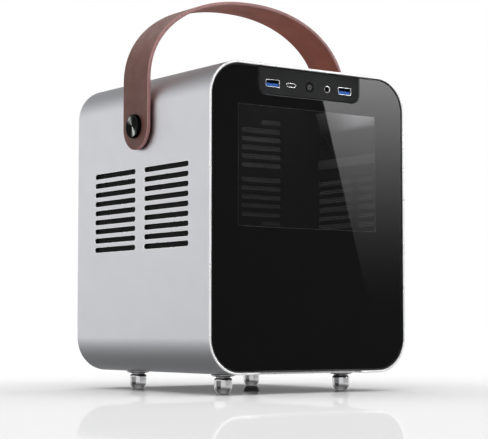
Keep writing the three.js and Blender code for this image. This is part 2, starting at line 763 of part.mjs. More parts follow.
function ioShield() {
  const { x0, x1, z0, z1 } = IO_OPENING;
  const plate = block(x0 + FIT, x1 - FIT, REAR_INNER, REAR_INNER + 0.8, z0 + FIT, z1 - FIT);
  const cuts = Object.values(STACKS).map((stack) =>
    block(
      stack.x0 - FIT,
      stack.x1 + FIT,
      REAR_INNER - 1,
      REAR_INNER + 2,
      ON_BOARD - FIT,
      ON_BOARD + stack.high + FIT,
    ),
  );
  for (const z of [80, 96]) cuts.push(bar("y", 3.2, REAR_INNER - 1, REAR_INNER + 2, -30, z, 14));
  return plate.subtract(joined(cuts));
}

add("io_shield", ioShield(), STEEL);

// ---- Power supply ---------------------------------------------------------------------------

const INLET = { x: -25, halfWidth: 13.2, halfHeight: 9.6 };
const ROCKER = { x: -4.5, halfWidth: 5, halfHeight: 7.8, y: SUPPLY_BACK - 1.6 };
const SUPPLY_FAN = { x: 20, size: 37, thick: 10 };

function supplyCase() {
  const { halfWidth, y0, z0, wall } = SUPPLY;
  const outer = block(-halfWidth, halfWidth, y0, SUPPLY_BACK, z0, SUPPLY_HIGH);
  const inner = block(
    -halfWidth + wall,
    halfWidth - wall,
    y0 + wall,
    SUPPLY_BACK - wall,
    z0 + wall,
    SUPPLY_HIGH - wall,
  );
  const rear = (shape) => extrude(shape, "y", SUPPLY_BACK - 3, SUPPLY_BACK + 1, 4);
  const cuts = [
    rear(circle(SUPPLY_FAN.x, SUPPLY_MIDDLE, SUPPLY_FAN.size / 2 - 2)),
    rear(centred(INLET.x, SUPPLY_MIDDLE, INLET.halfWidth + FIT, INLET.halfHeight + FIT, 0)),
    rear(centred(ROCKER.x, SUPPLY_MIDDLE, ROCKER.halfWidth + 0.6, 9, 0)),
  ];
  for (let i = -3; i <= 3; i++) {
    const slot = stadium(-34 + 2, 4, SUPPLY_MIDDLE + i * 4.6, 2.4);
    cuts.push(extrude(slot, "y", y0 - 1, y0 + 2, 2));
  }
  return outer.subtract(inner).subtract(joined(cuts));
}

add("supply_case", supplyCase(), BLACK_STEEL);

// A three-pin mains inlet: a recess with one pin above two.
function mainsInlet() {
  const { x, halfWidth, halfHeight } = INLET;
  const back = SUPPLY_BACK + 2.6;
  const body = block(
    x - halfWidth,
    x + halfWidth,
    back - 20,
    back,
    SUPPLY_MIDDLE - halfHeight,
    SUPPLY_MIDDLE + halfHeight,
  );
  const recess = rounded(x - 12, x + 12, SUPPLY_MIDDLE - 8, SUPPLY_MIDDLE + 8, [0.5, 0.5, 4, 4]);
  const hollow = extrude(recess, "y", back - 16, back + 1, 1);
  const pin = (dx, dz) =>
    block(x + dx - 1, x + dx + 1, back - 17, back - 3, SUPPLY_MIDDLE + dz - 2, SUPPLY_MIDDLE + dz + 2);
  return joined([body.subtract(hollow), pin(-7, -0.8), pin(7, -0.8), pin(0, 3.4)]);
}

add("mains_inlet", mainsInlet(), BLACK_PLASTIC);

// The rocker is a bar with a dished face. It stands tipped about its axle, with its top pressed in.
function rocker() {
  const { halfWidth, halfHeight } = ROCKER;
  const profile = new THREE.Shape();
  profile.moveTo(-3.6, -halfHeight);
  profile.lineTo(3.4, -halfHeight);
  profile.lineTo(1.8, 0);
  profile.lineTo(3.4, halfHeight);
  profile.lineTo(-3.6, halfHeight);
  return extrude(profile, "x", -halfWidth, halfWidth);
}

const tippedRocker = add("mains_rocker", rocker(), BLACK_PLASTIC, [ROCKER.x, ROCKER.y, SUPPLY_MIDDLE]);
tippedRocker.rotation.x = THREE.MathUtils.degToRad(10);

addFan("supply_fan", SUPPLY_FAN.size, SUPPLY_FAN.thick, 9, 7, (group) => {
  group.rotation.x = QUARTER;
  group.position.set(SUPPLY_FAN.x, SUPPLY_BACK - SUPPLY.wall - FIT, SUPPLY_MIDDLE);
});

// ---- Drive plate ----------------------------------------------------------------------------

// A cross plate in the upper bay: vent slots to the exhaust fan, a flat drive on its back, and a
// rail forward along the right wall.
function drivePlate() {
  const { y0, thick, halfWidth, low, high } = DRIVE_PLATE;
  const outline = rounded(-halfWidth, halfWidth, low, high, [2, 2, 22, 22]);
  outline.holes.push(...ventSlots(PLATE_VENT.x, PLATE_VENT.z, [-1]));
  const plate = extrude(outline, "y", y0, y0 + thick, 1);
  const flanges = [-1, 1].map((side) => {
    const edge = side * (halfWidth - 0.75);
    return block(edge - 0.75, edge + 0.75, y0, y0 + 12, low + 4, 194);
  });
  const clear = CHANNELS.map(([x, z]) => bar("y", BOSS.radius + 0.6, y0 - 5, y0 + 20, x, z, 16));
  const rail = block(halfWidth - 1.9, halfWidth - 0.1, FRAME_BACK + 2, y0 + 1, 180.7, 188.6);
  return joined([plate, ...flanges, rail]).subtract(joined(clear));
}

add("drive_plate", drivePlate(), BLACK_STEEL);

const DRIVE_BACK = DRIVE_PLATE.y0 + DRIVE_PLATE.thick + 0.2;
add("flat_drive", block(-80, -10.2, DRIVE_BACK, DRIVE_BACK + 7, 124, 224), DARK_METAL);

// ---- Cables ---------------------------------------------------------------------------------

// A flat power lead: out of the supply, up in front of the board, and down into its socket.
function powerLead() {
  const middle = [];
  const arc = (y, z, radius, from, to) => {
    for (let i = 0; i <= 6; i++) {
      const angle = from + ((to - from) * i) / 6;
      middle.push([y + radius * Math.cos(angle), z + radius * Math.sin(angle)]);
    }
  };
  middle.push([SUPPLY.y0 - FIT, 44]);
  arc(-75, 54, 10, -QUARTER, -2 * QUARTER);
  arc(-80.5, 93, 4.5, 2 * QUARTER, 0);
  middle.push([-76, 88]);
  const half = 1.5;
  const sides = middle.map(([y, z], i) => {
    const [py, pz] = middle[Math.max(0, i - 1)];
    const [ny, nz] = middle[Math.min(middle.length - 1, i + 1)];
    const length = Math.hypot(ny - py, nz - pz);
    const across = [(-(nz - pz) / length) * half, ((ny - py) / length) * half];
    return [[y + across[0], z + across[1]], [y - across[0], z - across[1]]];
  });
  const loop = [...sides.map((pair) => pair[0]), ...sides.map((pair) => pair[1]).reverse()];
  const band = extrude(new THREE.Shape(loop.map(([y, z]) => new THREE.Vector2(y, z))), "x", 14, 38);
  const plugLow = ON_BOARD + 11.5;
  return joined([band, block(1, 51, -80.4, -71.6, plugLow, plugLow + 8)]);
}

add("power_lead", powerLead(), CABLE);

// The round front-port lead, from the port board down the left wall to the main board.
function portLead() {
  const route = [
    [-25, -64, 229.6],
    [-38, -62, 230],
    [-66, -62, 224],
    [-82, -67, 204],
    [-85.5, -72, 168],
    [-85.5, -74, 120],
    [-80, -76, 92],
    [-75, -76, 78],
  ].map((point) => new THREE.Vector3(...point));
  const path = new THREE.CatmullRomCurve3(route, false, "centripetal");
  const section = new THREE.Shape();
  for (let i = 0; i < 8; i++) {
    const angle = (i / 8) * 2 * Math.PI;
    const point = [2.2 * Math.cos(angle), 2.2 * Math.sin(angle)];
    if (i === 0) section.moveTo(...point);
    else section.lineTo(...point);
  }
  const tube = solid(new THREE.ExtrudeGeometry(section, { extrudePath: path, steps: 24 }));
  const boardPlug = block(-31, -19, -67.8, -60, 225, 233);
  return joined([tube, boardPlug, block(-80, -70, -80, -72, ON_BOARD, ON_BOARD + 9)]);
}

add("port_lead", portLead(), CABLE);

export default tower;
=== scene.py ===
import math

import bmesh
import bpy
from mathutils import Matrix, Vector
from mathutils.geometry import tessellate_polygon


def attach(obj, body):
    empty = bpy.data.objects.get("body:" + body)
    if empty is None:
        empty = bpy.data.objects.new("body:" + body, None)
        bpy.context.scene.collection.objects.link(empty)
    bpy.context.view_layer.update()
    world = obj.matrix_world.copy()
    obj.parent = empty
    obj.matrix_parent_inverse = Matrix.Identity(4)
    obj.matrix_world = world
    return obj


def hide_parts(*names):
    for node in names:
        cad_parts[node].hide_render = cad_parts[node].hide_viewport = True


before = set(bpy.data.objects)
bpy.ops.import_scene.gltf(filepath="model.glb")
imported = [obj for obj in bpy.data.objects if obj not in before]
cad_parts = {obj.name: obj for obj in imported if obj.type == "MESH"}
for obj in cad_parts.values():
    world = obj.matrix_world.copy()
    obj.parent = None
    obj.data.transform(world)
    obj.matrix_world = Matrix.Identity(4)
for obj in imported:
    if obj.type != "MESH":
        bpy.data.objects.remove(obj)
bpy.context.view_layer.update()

# Lengths are millimetres, like the CAD source, and turn into metres in piece().
# The camera, the lamps and the world are in metres.
MM = 0.001

# ---- Camera ----

scene = bpy.context.scene
camera_data = bpy.data.cameras.new("camera")
camera_data.sensor_fit = "HORIZONTAL"
camera_data.sensor_width = 36.0
camera_data.lens = 114.2
camera = bpy.data.objects.new("camera", camera_data)
camera.location = (-0.7173, -1.0101, 0.0490)
camera.rotation_euler = (math.radians(93.992), 0.0, math.radians(-35.593))
scene.collection.objects.link(camera)
scene.camera = camera

# ---- Sizes shared with the CAD ----


def four_corners(x, z, dx, dz):
    return [(x + sx * dx, z + sz * dz) for sx in (-1, 1) for sz in (-1, 1)]


HALF_W, HALF_D = 93.0, 95.5
LOW, HIGH = 14.5, 244.5
MIDDLE_Z, HALF_H = (LOW + HIGH) / 2, (HIGH - LOW) / 2
CORNER, WALL = 27.0, 1.8
GLASS_FRONT, GLASS_BACK = -94.3, -90.3
PLATE_FRONT, PLATE_BACK = -93.4, -90.2
SOCKET_FRONT = PLATE_FRONT + 0.4
PORT_Z, PORT_PITCH, PORT_BOARD_TOP = 230.5, 17.25, 227.5
USB_X = 2 * PORT_PITCH
REAR_INNER, REAR_FACE = 90.3, 91.5
PIVOT_Z = 203.2
EXHAUST_X, EXHAUST_Z, EXHAUST_SCREW = 20.0, 176.0, 41.25
SUPPLY_BACK, SUPPLY_Z = 90.0, 37.75
SUPPLY_FAN_X, SUPPLY_SCREW, INLET_X, ROCKER_X = 20.0, 16.0, -25.0, -4.5
# The screw channels run along the shell, 21 mm out from the centres of its rounded corners.
CHANNEL_OUT = 21 * math.sqrt(0.5) - CORNER
CHANNELS = four_corners(0, MIDDLE_Z, HALF_W + CHANNEL_OUT, HALF_H + CHANNEL_OUT)


# ---- Mesh helpers ----


class Maker:
    """Collects points and faces in millimetres, each face with a material number."""

    def __init__(self):
        self.points = []
        self.faces = []
        self.finishes = []

    def ring(self, points):
        start = len(self.points)
        self.points += [Vector(p) for p in points]
        return list(range(start, len(self.points)))

    def face(self, corners, finish=0):
        self.faces.append(tuple(corners))
        self.finishes.append(finish)

    def bridge(self, a, b, finish=0):
        for i in range(len(a)):
            j = (i + 1) % len(a)
            self.face((a[i], a[j], b[j], b[i]), finish)

    def loft(self, rings, finish=0):
        for a, b in zip(rings, rings[1:]):
            self.bridge(a, b, finish)

    def fill(self, rings, drop, finish=0):
        """Fills between an outer ring and its holes, seen along the axis numbered drop."""
        u, v = [i for i in range(3) if i != drop]
        loops = [[Vector((self.points[k][u], self.points[k][v], 0)) for k in r] for r in rings]
        flat = [k for r in rings for k in r]
        for tri in tessellate_polygon(loops):
            self.face([flat[k] for k in tri], finish)


def piece(name, maker, materials, smooth=50.0, node=None, body="case", origin=(0, 0, 0)):
    """Edges sharper than smooth degrees stay sharp."""
    origin = Vector(origin)
    mesh = bpy.data.meshes.new(name)
    mesh.from_pydata([(p - origin) * MM for p in maker.points], [], maker.faces)
    for m in materials:
        mesh.materials.append(m)
    for polygon, finish in zip(mesh.polygons, maker.finishes):
        polygon.material_index = finish
    bm = bmesh.new()
    bm.from_mesh(mesh)
    bmesh.ops.remove_doubles(bm, verts=bm.verts, dist=1e-7)
    bmesh.ops.recalc_face_normals(bm, faces=bm.faces)
    bm.to_mesh(mesh)
    bm.free()
    mesh.shade_smooth()
    mesh.set_sharp_from_angle(angle=math.radians(smooth))
    obj = bpy.data.objects.new(name, mesh)
    obj.location = origin * MM
    scene.collection.objects.link(obj)
    weighted = obj.modifiers.new("weighted", "WEIGHTED_NORMAL")
    weighted.keep_sharp = True
    weighted.weight = 90
    if body:
        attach(obj, body)
    if node:
        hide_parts(node)
    return obj


def arc(x, y, radius, start, end, steps):
    """Points round a centre from one angle to another, in degrees."""
    angles = [math.radians(start + (end - start) * k / steps) for k in range(steps + 1)]
    return [(x + radius * math.cos(a), y + radius * math.sin(a)) for a in angles]


def disc(x, y, radius, steps=32):
    return arc(x, y, radius, 0, 360, steps)[:-1]


def rounded(x0, x1, y0, y1, radii, steps=8):
    """A rectangle with corners rounded: low left, low right, high right, high left."""
    radii = radii if isinstance(radii, list) else [radii] * 4
    corners = [(x0, y0, 1, 1), (x1, y0, -1, 1), (x1, y1, -1, -1), (x0, y1, 1, -1)]
    points = []
    for i, ((x, y, sx, sy), r) in enumerate(zip(corners, radii)):
        points += arc(x + sx * r, y + sy * r, r, 180 + 90 * i, 270 + 90 * i, steps)
    return points


def centred(x, y, half_x, half_y, radii, steps=8):
    return rounded(x - half_x, x + half_x, y - half_y, y + half_y, radii, steps)


def stadium(x0, x1, y, height, steps=5):
    """A slot with round ends."""
    return rounded(x0, x1, y - height / 2, y + height / 2, height / 2 - 1e-4, steps)


def grown(loop, distance):
    """A counter-clockwise loop moved outwards, with mitred corners."""
    out = []
    n = len(loop)
    for i in range(n):
        p, c, q = Vector(loop[i - 1]), Vector(loop[i]), Vector(loop[(i + 1) % n])
        e1, e2 = (c - p).normalized(), (q - c).normalized()
        n1, n2 = Vector((e1.y, -e1.x)), Vector((e2.y, -e2.x))
        m = (n1 + n2).normalized()
        out.append(tuple(c + m * (distance / max(0.35, m.dot(n1)))))
    return out


# How a point of an outline and its level along an axis make a point in space.
PLACE = {
    "x": lambda a, b, t: (t, a, b),
    "y": lambda a, b, t: (a, t, b),
    "z": lambda a, b, t: (a, b, t),
}
DROP = {"x": 0, "y": 1, "z": 2}


def bevel_steps(bevel, segments):
    """A quarter round, as (depth below the face, distance from the edge)."""
    angles = [math.pi / 2 * k / segments for k in range(segments + 1)]
    return [(bevel * (1 - math.cos(a)), bevel * (1 - math.sin(a))) for a in angles]


def plate(maker, outer, holes, axis, low, high, bevel=0.3, segments=2, hole_bevel=None, finishes=(0, 0, 0)):
    """A sheet between two levels of an axis. finishes: its faces, its bevels, its edges."""
    put = PLACE[axis]
    hole_bevel = bevel if hole_bevel is None else hole_bevel
    ends = {low: [], high: []}
    for k, loop in enumerate([outer, *holes]):
        sign = -1 if k == 0 else 1
        steps = bevel_steps(bevel if k == 0 else hole_bevel, segments)
        rings = [maker.ring([put(x, y, low + t) for x, y in grown(loop, sign * i)]) for t, i in steps]
        backs = [maker.ring([put(x, y, high - t) for x, y in grown(loop, sign * i)]) for t, i in steps]
        maker.loft(rings, finishes[1])
        maker.bridge(rings[-1], backs[-1], finishes[2])
        maker.loft(backs[::-1], finishes[1])
        ends[low].append(rings[0])
        ends[high].append(backs[0])
    for rings in ends.values():
        maker.fill(rings, DROP[axis], finishes[0])


def block(maker, x0, x1, y0, y1, z0, z1, bevel=0.3, finish=0):
    plate(maker, rounded(x0, x1, y0, y1, bevel, 3), [], "z", z0, z1, bevel, 2, finishes=(finish,) * 3)


def turned(maker, profile, axis, a, b, steps=48, finish=0):
    """A profile of (radius, level) turned about an axis through (a, b). Radius 0 closes it."""
    put = PLACE[axis]
    rings = []
    for radius, level in profile:
        points = disc(a, b, radius, steps) if radius > 0 else [(a, b)]
        rings.append(maker.ring([put(x, y, level) for x, y in points]))
    kinds = finish if isinstance(finish, list) else [finish] * len(rings)
    for r0, r1, kind in zip(rings, rings[1:], kinds):
        if len(r0) > 1 and len(r1) > 1:
            maker.bridge(r0, r1, kind)
            continue
        tip, loop = (r0[0], r1) if len(r0) == 1 else (r1[0], r0[::-1])
        for k in range(steps):
            maker.face((tip, loop[k], loop[(k + 1) % steps]), kind)


def softened(profile, radius, segments):
    """Rounds every corner of a turned profile but its two ends."""
    out = [profile[0]]
    for p, c, q in zip(profile, profile[1:], profile[2:]):
        p, c, q = Vector(p), Vector(c), Vector(q)
        r = min(radius, (p - c).length * 0.45, (q - c).length * 0.45)
        s, e = c + (p - c).normalized() * r, c + (q - c).normalized() * r
        for k in range(segments + 1):
            t = k / segments
            out.append(tuple(s * (1 - t) ** 2 + c * 2 * t * (1 - t) + e * t * t))
    return [*out, profile[-1]]


# ---- Materials ----


class Nodes:
    """A node tree, with short ways to add and join its nodes."""

    def __init__(self, owner):
        owner.use_nodes = True
        self.tree = owner.node_tree

    def put(self, value, socket):
        """Joins an output to a socket, or sets a plain value on it."""
        if isinstance(value, bpy.types.NodeSocket):
            self.tree.links.new(value, socket)
        else:
            socket.default_value = value

    def node(self, kind, inputs=None, **settings):
        """kind is the type's name after ShaderNode."""
        n = self.tree.nodes.new("ShaderNode" + kind)
        for key, value in settings.items():
            setattr(n, key, value)
        for key, value in (inputs or {}).items():
            self.put(value, n.inputs[key])
        return n

    def math(self, operation, a, b):
        return self.node("Math", {0: a, 1: b}, operation=operation).outputs[0]

    def ranged(self, value, low, high, to_low=0.0, to_high=1.0, kind="SMOOTHSTEP"):
        ends = {"Value": value, "From Min": low, "From Max": high, "To Min": to_low, "To Max": to_high}
        return self.node("MapRange", ends, interpolation_type=kind).outputs["Result"]

    def ramp(self, value, stops):
        n = self.node("ValToRGB", {"Fac": value})
        while len(n.color_ramp.elements) < len(stops):
            n.color_ramp.elements.new(0.5)
        for element, (place, color) in zip(n.color_ramp.elements, stops):
            element.position = place
            element.color = (*color, 1.0)
        return n.outputs["Color"]


class Finish(Nodes):
    """A procedural material: one Principled shader with noise on its colour, gloss and bump."""

    def __init__(self, name, color, roughness, metallic=0.0, **sockets):
        self.material = bpy.data.materials.new(name)
        super().__init__(self.material)
        self.shader = self.tree.nodes["Principled BSDF"]
        sockets = {"Base Color": (*color, 1.0), "Roughness": roughness, "Metallic": metallic, **sockets}
        for key, value in sockets.items():
            self.put(value, self.shader.inputs[key.replace("_", " ")])
        self.color = color
        self.coords = self.node("TexCoord").outputs["Object"]
        self.height = None

    def noise(self, scale, detail=3.0, roughness=0.5, stretch=None):
        vector = self.coords
        if stretch:
            vector = self.node("Mapping", {"Scale": stretch, "Vector": vector}).outputs["Vector"]
        inputs = {"Scale": scale, "Detail": detail, "Roughness": roughness, "Vector": vector}
        return self.node("TexNoise", inputs).outputs["Fac"]

    def cells(self, scale, feature="F1", **inputs):
        inputs = {"Scale": scale, "Vector": self.coords, **inputs}
        return self.node("TexVoronoi", inputs, feature=feature).outputs["Distance"]

    def tinted(self, value, darker, lighter):
        """The colour varies between two multiples of the base colour."""
        low, high = (tuple(min(1.0, c * k) for c in self.color) for k in (darker, lighter))
        self.put(self.ramp(value, [(0.3, low), (0.7, high)]), self.shader.inputs["Base Color"])

    def glossed(self, value, low, high):
        self.put(self.ranged(value, 0.3, 0.7, low, high, "LINEAR"), self.shader.inputs["Roughness"])

    def bumped(self, value, distance, strength):
        inputs = {"Distance": distance, "Strength": strength, "Height": value}
        if self.height is not None:
            inputs["Normal"] = self.height
        self.height = self.node("Bump", inputs).outputs["Normal"]
        self.put(self.height, self.shader.inputs["Normal"])


def blasted_aluminium(name, color, roughness):
    f = Finish(name, color, roughness, 1.0)
    f.tinted(f.noise(9, 2), 0.99, 1.01)
    f.glossed(f.noise(90, 3), roughness - 0.005, roughness + 0.025)
    f.bumped(f.noise(2600, 2, 0.6), 0.00006, 0.55)
    return f.material


def cut_edge(name, color):
    f = Finish(name, color, 0.3, 0.35)
    f.tinted(f.noise(40, 2), 0.97, 1.0)
    f.glossed(f.noise(90, 3), 0.24, 0.36)
    f.bumped(f.noise(900, 2), 0.00001, 0.3)
    return f.material


def plain_metal(name, color, roughness, grain=(40, 40, 1200), **sockets):
    f = Finish(name, color, roughness, 1.0, **sockets)
    f.tinted(f.noise(30, 3), 0.92, 1.04)
    f.glossed(f.noise(60, 4), roughness * 0.8, roughness * 1.25)
    f.bumped(f.noise(1, 2, stretch=grain), 0.00002, 0.3)
    return f.material


def moulded(name, color, roughness, grain=1800, depth=0.00004, **sockets):
    f = Finish(name, color, roughness, 0.0, **sockets)
    f.tinted(f.noise(45, 3), 0.85, 1.15)
    f.glossed(f.noise(70, 3), roughness - 0.05, roughness + 0.07)
    f.bumped(f.cells(grain), depth, 0.5)
    return f.material


def leather(name, color, roughness, pores):
    f = Finish(name, color, roughness, 0.0, Specular_IOR_Level=0.42)
    f.tinted(f.noise(26, 5, 0.6), 0.84, 1.13)
    f.glossed(f.noise(120, 4), roughness - 0.08, roughness + 0.1)
    f.bumped(f.cells(pores, "SMOOTH_F1"), 0.0001, 0.35)
    f.bumped(f.noise(420, 4, 0.6), 0.00012, 0.3)
    return f.material


def spun_metal(name, color, roughness):
    """Fine rings about the x axis, which draw a highlight out into a bright wedge."""
    f = Finish(
        name, color, roughness, 1.0,
        Anisotropic=0.98, Anisotropic_Rotation=0.25, Specular_Tint=(0.55, 0.55, 0.55, 1.0),
    )
    tangent = f.node("Tangent", direction_type="RADIAL", axis="X")
    f.put(tangent.outputs["Tangent"], f.shader.inputs["Tangent"])
    f.tinted(f.noise(60, 2), 0.9, 1.1)
    inputs = {"Scale": 900, "Distortion": 0.4, "Vector": f.coords}
    rings = f.node("TexWave", inputs, wave_type="RINGS", rings_direction="X")
    f.bumped(rings.outputs["Fac"], 0.000004, 0.12)
    return f.material


def smoked_glass(name, color):
    f = Finish(name, color, 0.0, 0.0, Transmission_Weight=1.0, IOR=1.5)
    f.tinted(f.noise(6, 1), 0.97, 1.03)
    return f.material


def printed(name, color):
    f = Finish(name, color, 0.6, 0.0, Specular_IOR_Level=0.1)
    f.tinted(f.noise(12, 2), 0.9, 1.1)
    f.glossed(f.noise(20, 2), 0.55, 0.65)
    return f.material


def mesh_screen(name, color, **sockets):
    """A fine pierced screen: round holes in rows, cut away by transparency."""
    f = Finish(name, color, 0.5, 0.0, **sockets)
    f.tinted(f.noise(200, 2), 0.8, 1.2)
    hole, blur = 0.36, 0.02
    dots = f.cells(640, Randomness=0.0)
    f.put(f.ranged(dots, hole - blur, hole + blur, kind="LINEAR"), f.shader.inputs["Alpha"])
    return f.material


SHELL = blasted_aluminium("blasted_aluminium", (0.785, 0.792, 0.826), 0.40)
POLISHED = cut_edge("cut_edge", (0.97, 0.97, 0.975))
SHELL_INSIDE = moulded("bare_inside", (0.075, 0.075, 0.077), 0.5, 900, 0.00002, Metallic=0.3)
RAIL = moulded("rail_finish", (0.34, 0.34, 0.345), 0.45, 900, 0.00002)
CHROME = plain_metal("foot_polish", (0.70, 0.70, 0.71), 0.13, (200, 200, 3500))
STEEL = plain_metal("plated_steel", (0.72, 0.73, 0.74), 0.26)
BRIGHT_RIM = plain_metal("bright_rim", (0.93, 0.93, 0.93), 0.2)
TRIM = plain_metal("trim_metal", (0.42, 0.42, 0.43), 0.35)
GOLD = plain_metal("gold_contact", (0.83, 0.62, 0.26), 0.25)
FINS = plain_metal("fin_aluminium", (0.70, 0.71, 0.72), 0.38)
SHIELD = plain_metal("stamped_shield", (0.55, 0.56, 0.57), 0.34, (700, 40, 40))
SPUN = spun_metal("spun_black_metal", (0.006, 0.0065, 0.006), 0.17)
BLACK_METAL = plain_metal(
    "black_anodised_metal", (0.012, 0.012, 0.012), 0.42, Specular_Tint=(0.45, 0.45, 0.45, 1.0)
)
POWDER = moulded("black_powder_coat", (0.022, 0.022, 0.023), 0.5, 1500, 0.00005)
PLATE_FINISH = moulded(
    "port_plate_satin", (0.016, 0.0165, 0.0175), 0.48, 2600, 0.00003, Specular_IOR_Level=0.1
)
PLASTIC = moulded("black_plastic", (0.018, 0.018, 0.019), 0.45)
ROTOR = moulded("fan_plastic", (0.03, 0.03, 0.032), 0.4)
BUTTON = moulded("button_plastic", (0.010, 0.010, 0.011), 0.4, Specular_IOR_Level=0.15)
LEGEND = moulded("power_legend", (0.20, 0.20, 0.205), 0.5)
BLUE = moulded("blue_tongue", (0.010, 0.10, 0.43), 0.45, Specular_IOR_Level=0.25)
CIRCUIT = moulded("circuit_board", (0.010, 0.018, 0.014), 0.4, 900)
DARK_CASE = moulded("dark_anodised", (0.035, 0.035, 0.038), 0.35, 2200)
SLEEVE = moulded("cable_sleeve", (0.012, 0.012, 0.012), 0.7, 1200, 0.0001)
JACK_COLORS = [
    moulded("jack_pink", (0.70, 0.24, 0.32), 0.4),
    moulded("jack_green", (0.22, 0.52, 0.16), 0.4),
    moulded("jack_blue", (0.10, 0.30, 0.62), 0.4),
]
LED_GREEN = moulded("link_light", (0.10, 0.42, 0.12), 0.25)
LED_AMBER = moulded("speed_light", (0.75, 0.38, 0.06), 0.25)
MARK = moulded("switch_mark", (0.62, 0.62, 0.60), 0.5)
LEATHER = leather("strap_leather", (0.122, 0.049, 0.038), 0.52, 1500)
LEATHER_EDGE = leather("strap_edge", (0.37, 0.19, 0.182), 0.40, 2400)
LEATHER_BACK = leather("strap_back", (0.40, 0.125, 0.082), 0.6, 1100)
GLASS = smoked_glass("smoked_glass", (0.12, 0.12, 0.123))
GROUND_EDGE = moulded("ground_glass_edge", (0.10, 0.102, 0.105), 0.25, 3000, 0.00001)
PRINT = printed("black_print", (0.004, 0.004, 0.0042))
SCREEN = mesh_screen("fine_mesh", (0.42, 0.40, 0.40))
DUST_SCREEN = mesh_screen("dust_mesh", (0.006, 0.006, 0.006), Specular_IOR_Level=0.08)

# ---- Shell ----

ARC_STEPS = 20
EDGE, EDGE_STEPS = 0.7, 4
NOTCH_X, NOTCH_DEPTH, NOTCH_LIP, NOTCH_ROUND = 48.5, 8.0, 1.2, 3.0
SLOT_COLUMNS = {-1: [(-67.6, -6.4), (6.4, 67.6)], 1: [(-67.6, -37.3), (-30.4, 30.4), (37.3, 67.6)]}
SLOT_ROWS = [110.6 + row * 7.34 for row in range(9)]
SLOT_HIGH, SLOT_BEVEL = 4.0, 0.5


def shell_stations():
    """Points round the cross-section, as (x, z, outward x, outward z), from the low left corner."""
    stations = []
    for sx, sz, start in [(-1, -1, 180), (1, -1, 270), (1, 1, 0), (-1, 1, 90)]:
        cx, cz = sx * (HALF_W - CORNER), MIDDLE_Z + sz * (HALF_H - CORNER)
        for nx, nz in arc(0, 0, 1, start, start + 90, ARC_STEPS):
            stations.append((cx + CORNER * nx, cz + CORNER * nz, nx, nz))
    return stations


def slot_loops(side):
    return [stadium(near, far, z, SLOT_HIGH, 7) for near, far in SLOT_COLUMNS[side] for z in SLOT_ROWS]


def notch_line():
    """The front edge of the floor panel from left to right, with its finger notch, as (x, y)."""
    half = [
        (CORNER - HALF_W, -HALF_D),
        *arc(-NOTCH_X - NOTCH_LIP, -HALF_D + NOTCH_LIP, NOTCH_LIP, -90, 0, 6),
        *arc(-NOTCH_X + NOTCH_ROUND, -HALF_D + NOTCH_DEPTH - NOTCH_ROUND, NOTCH_ROUND, 180, 90, 6),
    ]
    return half + [(-x, y) for x, y in reversed(half)]


def front_edge(stations, low_right):
    """The shell's front edge: each point, its outward normal, and the way in from the edge.

    The notch's points come after the station numbered low_right, and their count is returned too.
    """
    notch = notch_line()
    edge = []
    for i, (x, z, nx, nz) in enumerate(stations):
        edge.append((x, -HALF_D, z, nx, nz, Vector((0, 1, 0))))
        if i == low_right:
            for before, (px, py), after in zip(notch, notch[1:], notch[2:]):
                along = (Vector(after) - Vector(before)).normalized()
                edge.append((px, py, LOW, 0.0, -1.0, Vector((-along.y, along.x, 0))))
    return edge, len(notch) - 2


def outer_shell():
    m = Maker()
    stations = shell_stations()
    n, per_arc = len(stations), ARC_STEPS + 1
    floor_wall, right_wall, left_wall = per_arc - 1, 2 * per_arc - 1, 4 * per_arc - 1
    front, extra = front_edge(stations, floor_wall)
    rear = [(x, HALF_D, z, nx, nz, Vector((0, -1, 0))) for x, z, nx, nz in stations]

    def rings(edge):
        """Rings over the rounded edge, from the outer face to the inner face."""
        steps = bevel_steps(EDGE, EDGE_STEPS)
        return [
            m.ring([(x - nx * d + w.x * i, y + w.y * i, z - nz * d) for x, y, z, nx, nz, w in edge])
            for d, i in [*steps, *[(WALL - t, i) for t, i in reversed(steps)]]
        ]

    front_rings, rear_rings = rings(front), rings(rear)
    m.loft(front_rings, 1)
    m.loft(rear_rings, 1)
    slot_rings = {}
    for end, depth, finish in ((0, 0.0, 0), (-1, WALL, 2)):
        f_ring, r_ring = front_rings[end], rear_rings[end]
        for i in range(n):
            j = (i + 1) % n
            # The front ring's number for a station: the notch comes before the second corner.
            fi, fj = (k if k <= floor_wall else k + extra for k in (i, j))
            if i == floor_wall:
                m.fill([f_ring[fi : fj + 1] + [r_ring[j], r_ring[i]]], 2, finish)
                continue
            outline = [f_ring[fi], f_ring[fj], r_ring[j], r_ring[i]]
            if i not in (right_wall, left_wall):
                m.face(outline, finish)
                continue
            side = 1 if i == right_wall else -1
            x = side * (HALF_W - depth)
            holes = [m.ring([(x, y, z) for y, z in grown(loop, SLOT_BEVEL)]) for loop in slot_loops(side)]
            m.fill([outline, *holes], 0, finish)
            slot_rings[(side, depth)] = holes
    for side in (-1, 1):
        steps = bevel_steps(SLOT_BEVEL, 3)[1:]
        for k, loop in enumerate(slot_loops(side)):
            outer, inner = (
                [m.ring([(side * (face + way * t), y, z) for y, z in grown(loop, i)]) for t, i in steps]
                for face, way in ((HALF_W, -1), (HALF_W - WALL, 1))
            )
            m.loft([slot_rings[(side, 0.0)][k], *outer], 1)
            m.loft([outer[-1], *inner[::-1], slot_rings[(side, WALL)][k]], 2)
    finishes = [SHELL, POLISHED, SHELL_INSIDE]
    return piece("shell", m, finishes, 50, "outer_shell")


shell = outer_shell()

for k, (x, z) in enumerate(CHANNELS):
    m = Maker()
    turned(m, [(0, -87.2), (5, -87.2), (5, 89.9), (0, 89.9)], "y", x, z, 24)
    piece(f"shell_channel_{k + 1}", m, [SHELL])

# ---- Feet ----

